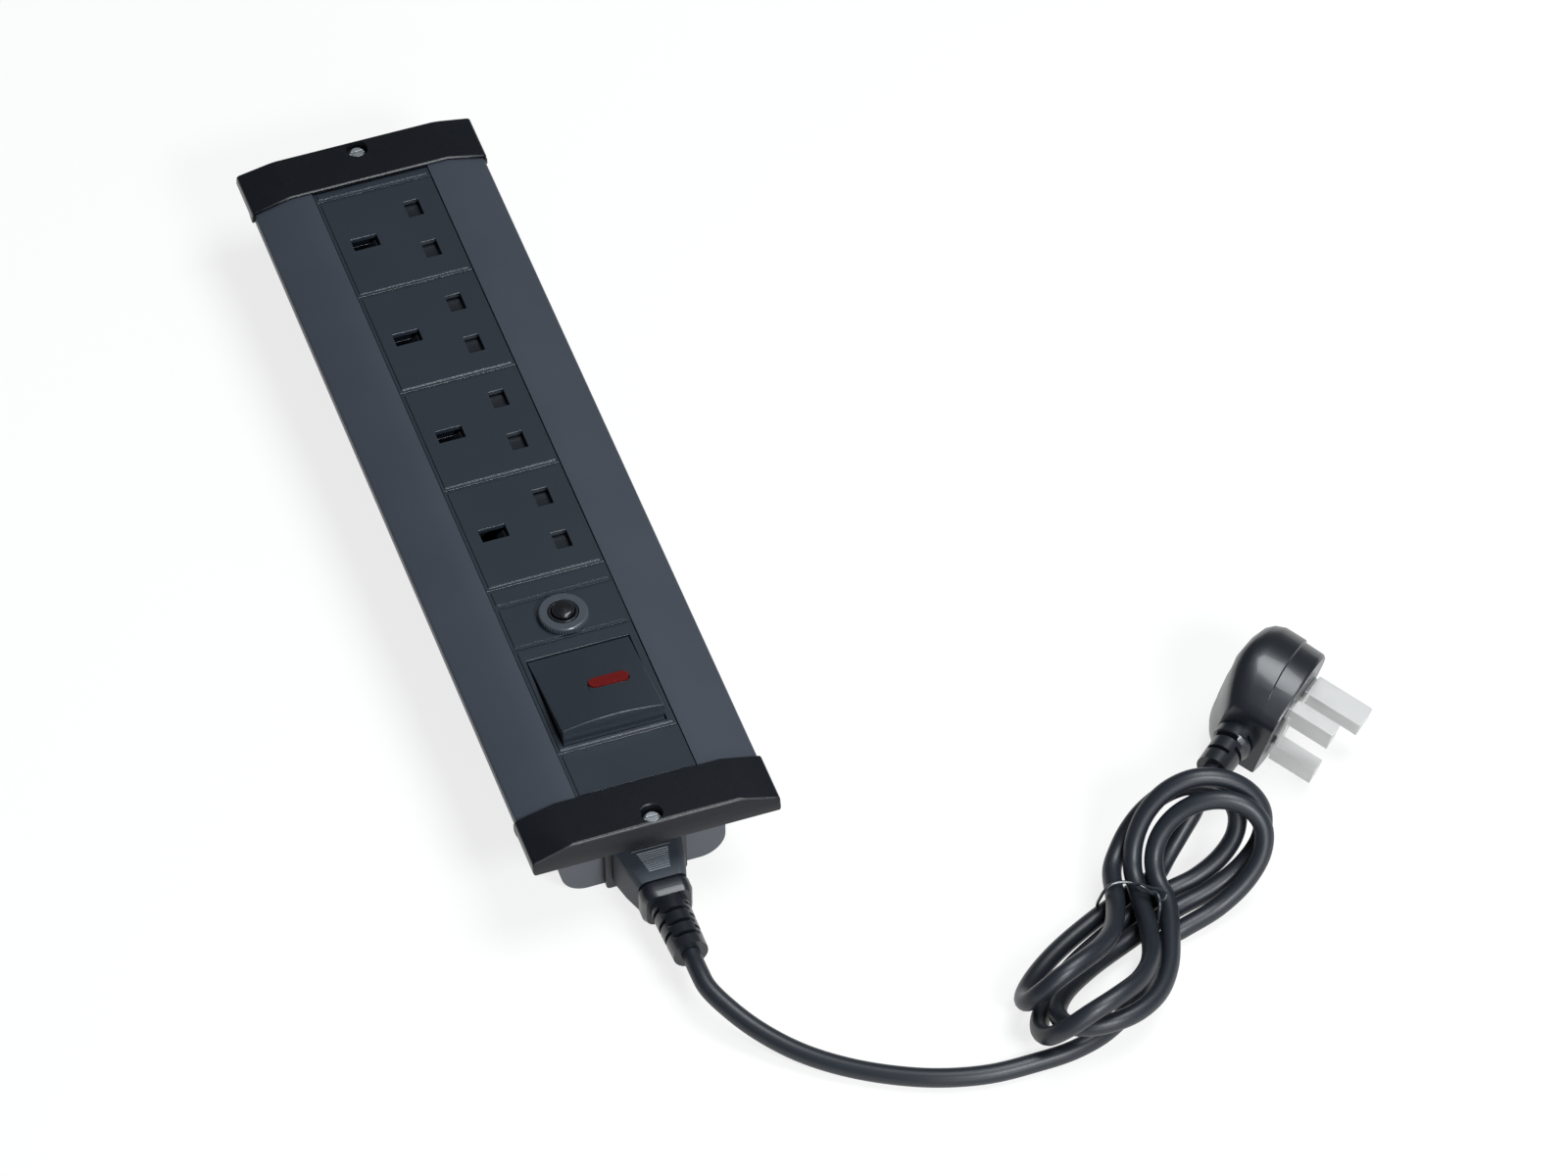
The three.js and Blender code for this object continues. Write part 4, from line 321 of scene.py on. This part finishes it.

# %% [markdown]
# The lead leaves the connector, drops to the table, runs under a tied figure of eight and climbs to
# the plug. It is one unbroken centreline. The free stretches are listed points, and the wound part
# follows a formula: each turn goes from below the waist round the upper loop, over the waist, and
# back round the lower loop.

# %% Route of the lead
CORD_DIAMETER = 7 * MM
HANK_CENTRE = (163.7, -241.7)
HANK_HEADING = math.radians(32.4)
HANK_STEPS = 24
HANK_PHASE = 0.25
HANK_LEAD_IN = 7
CURVE_STEPS = 6
HANK_LOW, HANK_HIGH, HANK_STEEP = 5.4, 13.2, 2.2
UPPER = ("reach", "lean", "spread", "shift", "lift", "tilt")
LOWER = ("reach", "lean", "spread", "shift", "curl", "lift", "tilt")
HANK_TURNS = [
    dict(below=(-1.8, -15.7), above=(-0.1, -7.1),
         upper=dict(zip(UPPER, (35.6, -10.3, 12.5, 4.4, 26.4, -2.2))),
         lower=dict(zip(LOWER, (67.6, -9.9, 14.3, 13.7, -0.4, 7.6, -2.0)))),
    dict(below=(3.0, -8.0), above=(-2.2, 4.5),
         upper=dict(zip(UPPER, (39.9, -10.6, 12.1, 0.4, 28.7, 2.9))),
         lower=dict(zip(LOWER, (76.5, -12.3, 16.1, 20.4, -2.0, 12.2, 8.3)))),
    dict(below=(7.7, -1.0), above=(-0.7, 16.8),
         upper=dict(zip(UPPER, (35.3, -5.2, 8.2, -4.5, 22.3, -0.4))),
         lower=dict(zip(LOWER, (68.7, -9.4, 12.7, 14.3, -1.3, 13.0, 8.4)))),
]
HANK_END = (4.4, 7.7)
RUN_ROUTE = [(0, -224.2, 14.6), (0.8, -231.3, 13.6), (5.7, -241.3, 11), (13, -251.7, 8),
             (23.6, -263.1, 5.4), (36.4, -273.4, 4.1), (51.4, -282.6, 3.7), (67.1, -289.6, 3.7),
             (83.9, -293.7, 3.7), (100.1, -294.3, 3.7), (115.1, -293.5, 3.7), (129, -289.5, 3.7),
             (142, -281, 3.7), (152, -270, 4)]
TAIL_ROUTE = [(175.5, -227.5, 12.5), (183, -222.5, 18), (188.6, -218.6, 22)]
RUN_START = (0, -215.9, 14.6)
PLUG_TURN = (Quaternion((0, 0, 1), math.radians(41)) @ Quaternion((1, 0, 0), math.radians(104.9))
             @ Quaternion((0, 0, 1), math.radians(-2)))
PLUG_PLACE = Vector((231, -194.6, 24.3))
PLUG_ENTRY = [(-40.3, 0, -11), (-32.6, 0, -11)]


def in_plug(x, y, z):
    """A point given in the plug's own millimetres, in the frame's."""
    return PLUG_PLACE + PLUG_TURN @ Vector((x, y, z))


def hank_place(along, across, height):
    c, s = math.cos(HANK_HEADING), math.sin(HANK_HEADING)
    return Vector((HANK_CENTRE[0] + along * c - across * s,
                   HANK_CENTRE[1] + along * s + across * c, height))


def hank_point(turn, following, angle):
    c, twice = math.cos(angle), math.sin(2 * angle)
    share = (1 + math.sin(angle)) / 2
    rise = (1 + math.tanh(HANK_STEEP * math.sin(angle)) / math.tanh(HANK_STEEP)) / 2
    lobe = turn["upper"] if c >= 0 else turn["lower"]
    along, across = turn["below"] if c >= 0 else following
    curl = 0 if c >= 0 else lobe["curl"] * math.sin(4 * angle)
    return hank_place(
        along + (turn["above"][0] - along) * share + lobe["reach"] * c + lobe["lean"] * twice,
        across + (turn["above"][1] - across) * share + lobe["spread"] * twice + lobe["shift"] * c
        + curl,
        HANK_LOW + (HANK_HIGH - HANK_LOW) * rise + lobe["lift"] * c * c + lobe["tilt"] * c * twice)


def straight_on(first, second, distance):
    return first + (first - second).normalized() * distance


def route_of_lead():
    hank = []
    for turn, following in zip(HANK_TURNS, [t["below"] for t in HANK_TURNS[1:]] + [HANK_END]):
        hank += [hank_point(turn, following, (j / HANK_STEPS - HANK_PHASE) * 2 * math.pi)
                 for j in range(HANK_STEPS)]
    hank.append(hank_place(*HANK_END, HANK_LOW))
    points = [Vector(RUN_START)] + [Vector(p) for p in RUN_ROUTE]
    points += [straight_on(hank[0], hank[1], HANK_LEAD_IN)] + hank
    points += [straight_on(hank[-1], hank[-2], HANK_LEAD_IN)]
    points += [Vector(p) for p in TAIL_ROUTE] + [in_plug(*p) for p in PLUG_ENTRY]
    return [p * MM for p in points]


def through(points, steps):
    """A smooth line through points, closer-spaced where the points are."""
    padded = [points[0] * 2 - points[1]] + points + [points[-1] * 2 - points[-2]]
    line = []
    for i in range(1, len(padded) - 2):
        p0, p1, p2, p3 = padded[i - 1:i + 3]
        t1 = (p1 - p0).length ** 0.5
        t2 = t1 + (p2 - p1).length ** 0.5
        t3 = t2 + (p3 - p2).length ** 0.5
        for j in range(steps):
            t = t1 + (t2 - t1) * j / steps
            a1 = p0.lerp(p1, t / t1)
            a2 = p1.lerp(p2, (t - t1) / (t2 - t1))
            a3 = p2.lerp(p3, (t - t2) / (t3 - t2))
            b1 = a1.lerp(a2, t / t2)
            b2 = a2.lerp(a3, (t - t1) / (t3 - t1))
            line.append(b1.lerp(b2, (t - t1) / (t2 - t1)))
    return line + [points[-1]]


def length_of(line):
    return sum((b - a).length for a, b in zip(line, line[1:]))


lead_line = through(route_of_lead(), CURVE_STEPS)
print("lead is %.3f m long, %d points" % (length_of(lead_line), len(lead_line)))


# %% [markdown]
# A cord drawn as a curve with a round bevel keeps its true section however it bends, and its own
# line stays its centreline.

# %% Lead
def round_wire(name, line, diameter, material, sides=6):
    data = bpy.data.curves.new(name, "CURVE")
    data.dimensions = "3D"
    data.bevel_depth = diameter / 2
    data.bevel_resolution = sides
    data.use_fill_caps = True
    spline = data.splines.new("POLY")
    spline.points.add(len(line) - 1)
    for point, place in zip(spline.points, line):
        point.co = (*place, 1)
    spline.use_smooth = True
    data.materials.append(material)
    piece = bpy.data.objects.new(name, data)
    bpy.context.scene.collection.objects.link(piece)
    return piece


lead = round_wire("mains_lead", lead_line, CORD_DIAMETER, lead_rubber)
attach(lead, "lead")
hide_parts("cord_run", "cord_hank", "cord_tail")
print("lead rides on the unplugging body")

# %% [markdown]
# The solids have knife-sharp edges, and nothing real does. Each rigid piece gets a finer copy: its
# triangles are merged back into faces, and every sharp edge is rounded by a fraction of a
# millimetre, so that it catches a thin line of light as moulded plastic and drawn metal do.

# %% Softened pieces
SAME_POINT = 2e-6
SHARP_ANGLE = math.radians(32)
BEVEL_STEPS = 2


def softened(node, material, edge_mm, merge=0.5, rounds=None):
    mesh = frame["nodes"][node].data.copy()
    mesh.name = node + "_skin"
    mesh.materials.clear()
    mesh.materials.append(material)
    for name in ("custom_normal", "sharp_edge", "sharp_face"):
        if name in mesh.attributes:
            mesh.attributes.remove(mesh.attributes[name])
    bm = bmesh.new()
    bm.from_mesh(mesh)
    bmesh.ops.remove_doubles(bm, verts=bm.verts, dist=SAME_POINT)
    bmesh.ops.dissolve_limit(bm, angle_limit=math.radians(merge), verts=bm.verts, edges=bm.edges)
    for face in bm.faces:
        face.material_index = 0
        face.smooth = True
    if rounds:
        weight = bm.edges.layers.float.new("bevel_weight_edge")
        for edge in bm.edges:
            middle = (edge.verts[0].co + edge.verts[1].co) / 2 / MM
            if edge.is_manifold and edge.calc_face_angle() > SHARP_ANGLE:
                edge.smooth = rounds(middle)
                edge[weight] = float(edge.smooth)
    bm.to_mesh(mesh)
    bm.free()
    piece = bpy.data.objects.new(node + "_skin", mesh)
    bpy.context.scene.collection.objects.link(piece)
    rounding = piece.modifiers.new("rounded_edges", "BEVEL")
    rounding.width = edge_mm * MM
    rounding.segments = BEVEL_STEPS
    rounding.limit_method = "WEIGHT" if rounds else "ANGLE"
    rounding.angle_limit = SHARP_ANGLE
    rounding.miter_outer = "MITER_ARC"
    rounding.use_clamp_overlap = rounds is None
    shading = piece.modifiers.new("flat_faces_stay_flat", "WEIGHTED_NORMAL")
    shading.weight = 100
    shading.keep_sharp = True
    return piece


def put_on(piece, *nodes):
    """The piece rides with the first of these solids and stands for them all."""
    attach(piece, body_of[nodes[0]])
    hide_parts(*nodes)
    return piece


SCREW_FROM_MIDDLE, RECESS_REACH = 176.5, 5.2
LENS_MIDDLE, LENS_REACH = (4.7, -112.3), 8.3
ROCKER_RIM = 44.8


def beside_screw(middle):
    """On a cap, all edges are rounded but those of the screw's recess."""
    return Vector((middle.x, abs(middle.y) - SCREW_FROM_MIDDLE)).length > RECESS_REACH


def beside_lens(middle):
    """On the rocker, the raised edges are rounded, and the lens's slot stays sharp."""
    from_lens = Vector((middle.x - LENS_MIDDLE[0], middle.y - LENS_MIDDLE[1]))
    return middle.z > ROCKER_RIM and from_lens.length > LENS_REACH


# For each solid: its finish, the width of its rounding, then the angle under which its faces
# merge and the test for edges to round, where these differ
SOFTENED = {
    "housing_extrusion": (painted_metal, 0.25),
    "far_end_cap": (cap_plastic, 0.7, 0.5, beside_screw),
    "near_end_cap": (cap_plastic, 0.7, 0.5, beside_screw), "far_cap_screw": (screw_steel, 0.12),
    "near_cap_screw": (screw_steel, 0.12), "far_end_plate": (end_plate_paint, 0.2),
    "near_end_plate": (end_plate_paint, 0.2), "filler_strip_far": (module_plastic, 0.2),
    "filler_strip_middle": (module_plastic, 0.2), "breaker_plate": (module_plastic, 0.2),
    "breaker_body": (black_plastic, 0.2), "breaker_nut": (nut_plastic, 0.12),
    "reset_button": (gloss_plastic, 0.2), "switch_frame": (module_plastic, 0.2),
    "switch_rocker": (module_plastic, 0.4, 0.02, beside_lens), "neon_lens": (lens_red, 0.3),
    "blanking_plate": (module_plastic, 0.2), "inlet_body": (black_plastic, 0.2),
    "connector_body": (black_plastic, 0.3), "plug_body": (black_plastic, 0.4),
    "plug_pin_live": (pin_steel, 0.25), "plug_pin_neutral": (pin_steel, 0.25),
    "plug_pin_earth": (pin_steel, 0.25), "fuse_carrier": (black_plastic, 0.2),
    "fuse": (fuse_ceramic, 0.2), "pin_cover": (cover_milky, 0.35),
    "inlet_pin_live": (pin_steel, 0.2), "inlet_pin_neutral": (pin_steel, 0.2),
    "inlet_pin_earth": (pin_steel, 0.2), "live_bus_bar": (contact_brass, 0.15),
    "neutral_bus_bar": (contact_brass, 0.15), "earth_bus_bar": (contact_brass, 0.15),
    "breaker_terminal_1": (contact_brass, 0.1), "breaker_terminal_2": (contact_brass, 0.1),
}
for number in range(1, 5):
    SOFTENED["socket_%d" % number] = (module_plastic, 0.2)
    SOFTENED["socket_base_%d" % number] = (socket_inside, 0.2)
    SOFTENED["contact_block_%d" % number] = (black_plastic, 0.2)
    SOFTENED["shutter_%d" % number] = (black_plastic, 0.2)
skins = {}
for node, finish in SOFTENED.items():
    skins[node] = put_on(softened(node, *finish), node)
print(len(skins), "pieces softened")

# %% [markdown]
# Each cap has a lip that drops behind the last module between the rails. Without it the thin gap
# at the module's end would show the floor below.

# %% Lips of the caps
LIP_HALF_WIDTH, LIP_BOTTOM, LIP_TOP = 22.4, 39.6, 44.3
LIP_START, LIP_END = 158.5, 160.5
BOX_FACES = [(0, 1, 3, 2), (4, 6, 7, 5), (0, 4, 5, 1), (2, 3, 7, 6), (0, 2, 6, 4), (1, 5, 7, 3)]


def lip(name, near_y, far_y):
    corners = [(x * LIP_HALF_WIDTH * MM, y * MM, z * MM) for x in (-1, 1) for y in (near_y, far_y)
               for z in (LIP_BOTTOM, LIP_TOP)]
    mesh = bpy.data.meshes.new(name)
    mesh.from_pydata(corners, [], BOX_FACES)
    mesh.materials.append(cap_plastic)
    piece = bpy.data.objects.new(name, mesh)
    bpy.context.scene.collection.objects.link(piece)
    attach(piece, body_of["far_end_cap"])


lip("far_cap_lip", LIP_START, LIP_END)
lip("near_cap_lip", -LIP_END, -LIP_START)
print("lips behind the end modules")

# %% [markdown]
# The connector is moulded in one piece, but its shell is matt where fingers grip it, and the collar
# and strain relief behind it are glossy. The matt grip also has a lighter grey than the collar.
# That lift is painted light: it stands in for the front light on its top under the cap. The faces
# are sorted by how far along the lead they lie.

# %% Two finishes on the connector
COLLAR_START = -184.4
grip = skins["connector_body"].data
grip.materials.append(connector_plastic)
for face in grip.polygons:
    face.material_index = 1 if face.center.y > COLLAR_START * MM else 0
print(sum(face.material_index for face in grip.polygons), "matt faces of", len(grip.polygons))

# %% [markdown]
# Grip ribs are one shape repeated at an even pitch, so a small node tree lays them out: a line of
# points, a bar on each, and a width that changes steadily from the first bar to the last. The same
# tree makes the one raised line on the connector and, turned by a quarter, the fine ribs across the
# neon lens. The thickness given is a bar's radius.

# %% Rows of ribs
RIB_SIDES = 10


def rib_tree():
    tree = bpy.data.node_groups.new("row_of_ribs", "GeometryNodeTree")
    sockets = [("Count", "NodeSocketInt"), ("Step", "NodeSocketVector"),
               ("First Width", "NodeSocketFloat"), ("Last Width", "NodeSocketFloat"),
               ("Thickness", "NodeSocketFloat"), ("Place", "NodeSocketVector"),
               ("Turn", "NodeSocketVector"), ("Material", "NodeSocketMaterial")]
    for name, kind in sockets:
        tree.interface.new_socket(name, in_out="INPUT", socket_type=kind)
    tree.interface.new_socket("Geometry", in_out="OUTPUT", socket_type="NodeSocketGeometry")
    nodes, links = tree.nodes, tree.links
    given = nodes.new("NodeGroupInput").outputs
    line = nodes.new("GeometryNodeMeshLine")
    links.new(given["Count"], line.inputs["Count"])
    links.new(given["Step"], line.inputs["Offset"])
    bar = nodes.new("GeometryNodeMeshCylinder")
    bar.inputs["Vertices"].default_value = RIB_SIDES
    links.new(given["Thickness"], bar.inputs["Radius"])
    bar.inputs["Depth"].default_value = 1.0
    last = nodes.new("ShaderNodeMath")
    last.operation = "SUBTRACT"
    last.inputs[1].default_value = 1.0
    links.new(given["Count"], last.inputs[0])
    width = nodes.new("ShaderNodeMapRange")
    links.new(nodes.new("GeometryNodeInputIndex").outputs[0], width.inputs["Value"])
    links.new(last.outputs[0], width.inputs["From Max"])
    links.new(given["First Width"], width.inputs["To Min"])
    links.new(given["Last Width"], width.inputs["To Max"])
    size = nodes.new("ShaderNodeCombineXYZ")
    size.inputs["X"].default_value = 1.0
    size.inputs["Y"].default_value = 1.0
    links.new(width.outputs[0], size.inputs["Z"])
    row = nodes.new("GeometryNodeInstanceOnPoints")
    row.inputs["Rotation"].default_value = (0, math.pi / 2, 0)
    links.new(line.outputs[0], row.inputs["Points"])
    links.new(bar.outputs["Mesh"], row.inputs["Instance"])
    links.new(size.outputs[0], row.inputs["Scale"])
    real = nodes.new("GeometryNodeRealizeInstances")
    links.new(row.outputs[0], real.inputs[0])
    moved = nodes.new("GeometryNodeTransform")
    links.new(real.outputs[0], moved.inputs["Geometry"])
    links.new(given["Place"], moved.inputs["Translation"])
    links.new(given["Turn"], moved.inputs["Rotation"])
    painted = nodes.new("GeometryNodeSetMaterial")
    links.new(moved.outputs[0], painted.inputs["Geometry"])
    links.new(given["Material"], painted.inputs["Material"])
    links.new(painted.outputs[0], nodes.new("NodeGroupOutput").inputs[0])
    return tree


ribs_of = rib_tree()


def rib_row(name, body, **values):
    start = bpy.data.objects.new(name + "_start", bpy.data.meshes.new(name + "_start"))
    bpy.context.scene.collection.objects.link(start)
    modifier = start.modifiers.new("rows", "NODES")
    modifier.node_group = ribs_of
    for item in ribs_of.interface.items_tree:
        if item.in_out == "INPUT":
            modifier[item.identifier] = values[item.name.replace(" ", "_")]
    ready = start.evaluated_get(bpy.context.evaluated_depsgraph_get())
    piece = bpy.data.objects.new(name, bpy.data.meshes.new_from_object(ready))
    bpy.context.scene.collection.objects.link(piece)
    bpy.data.objects.remove(start)
    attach(piece, body)
    return piece


ROCKER_LOW, ROCKER_HIGH, ROCKER_LENGTH = 43.6, 50.4, 40.6
ROCKER_SLOPE = math.atan2(ROCKER_HIGH - ROCKER_LOW, ROCKER_LENGTH)
LENS_TOP = 48.44
# The grip ribs' light grey finish is a painted highlight on their crests.
grip_ribs = rib_row("connector_grip_ribs", "lead", Count=10, Step=(0, -0.89 * MM, -0.083 * MM),
                    First_Width=11.6 * MM, Last_Width=8 * MM, Thickness=0.26 * MM,
                    Place=(0.25 * MM, -172.5 * MM, 22.75 * MM), Turn=(0.0, 0.0, 0.0),
                    Material=rib_plastic)
rib_row("connector_grip_line", "lead", Count=1, Step=(0, 0, 0), First_Width=14.5 * MM,
        Last_Width=14.5 * MM, Thickness=0.3 * MM, Place=(0, -170.9 * MM, 22.8 * MM),
        Turn=(0.0, 0.0, 0.0), Material=black_plastic)
lens_ribs = rib_row("neon_lens_ribs", body_of["neon_lens"], Count=13, Step=(0, -1 * MM, 0),
                    First_Width=3.6 * MM, Last_Width=3.6 * MM, Thickness=0.34 * MM,
                    Place=(-1.3 * MM, -112.1 * MM, LENS_TOP * MM),
                    Turn=(0.0, ROCKER_SLOPE, math.pi / 2), Material=lens_red)
print("ribs:", len(grip_ribs.data.polygons), len(lens_ribs.data.polygons), "faces")

# %% [markdown]
# The hank is held by a thin coated wire. It goes under the strands at the waist, comes up between
# two of them and ends on top, beside its other end, which is folded back as a hairpin.

# %% Wire tie
TIE_DIAMETER = 1.2 * MM
TIE_ROUTE = [
    (-6.4, 0.4, 20), (-5.2, -3, 19.4), (-4.6, -5, 19), (-5.4, -7.4, 19.2), (-5.8, -8.8, 19.8),
    (-4.4, -9.6, 20.8), (-2.8, -8.6, 21), (-3, -6, 21), (-3.8, -3, 20.4), (-4.3, 0.5, 19.6),
    (-4.9, 4, 18.7), (-7.4, 7.6, 19.2), (-10.8, 10, 19), (-13.2, 10.8, 17.4), (-14.4, 11.6, 14.4),
    (-14, 13.2, 9), (-12.8, 13.4, 3.6), (-11.6, 10.4, 0.9), (-10.6, 3, 0.75), (-10, -5, 0.75),
    (-9.7, -9.6, 1.5), (-9.6, -10.4, 4), (-9.6, -10.4, 8), (-9.6, -10.4, 12), (-9.2, -10.3, 15.6),
    (-7.8, -9.6, 18.8), (-5.8, -7.6, 20.7), (-5, -5.6, 21), (-5.8, -3.6, 20.7), (-5.6, -1.6, 20.6),
    (-6, 0.4, 21.1),
]
tie_line = through([hank_place(*p) * MM for p in TIE_ROUTE], CURVE_STEPS)
tie = put_on(round_wire("twist_tie_wire", tie_line, TIE_DIAMETER, wire_coat, sides=4), "twist_tie")
print("tie wire is %.0f mm long" % (length_of(tie_line) / MM))
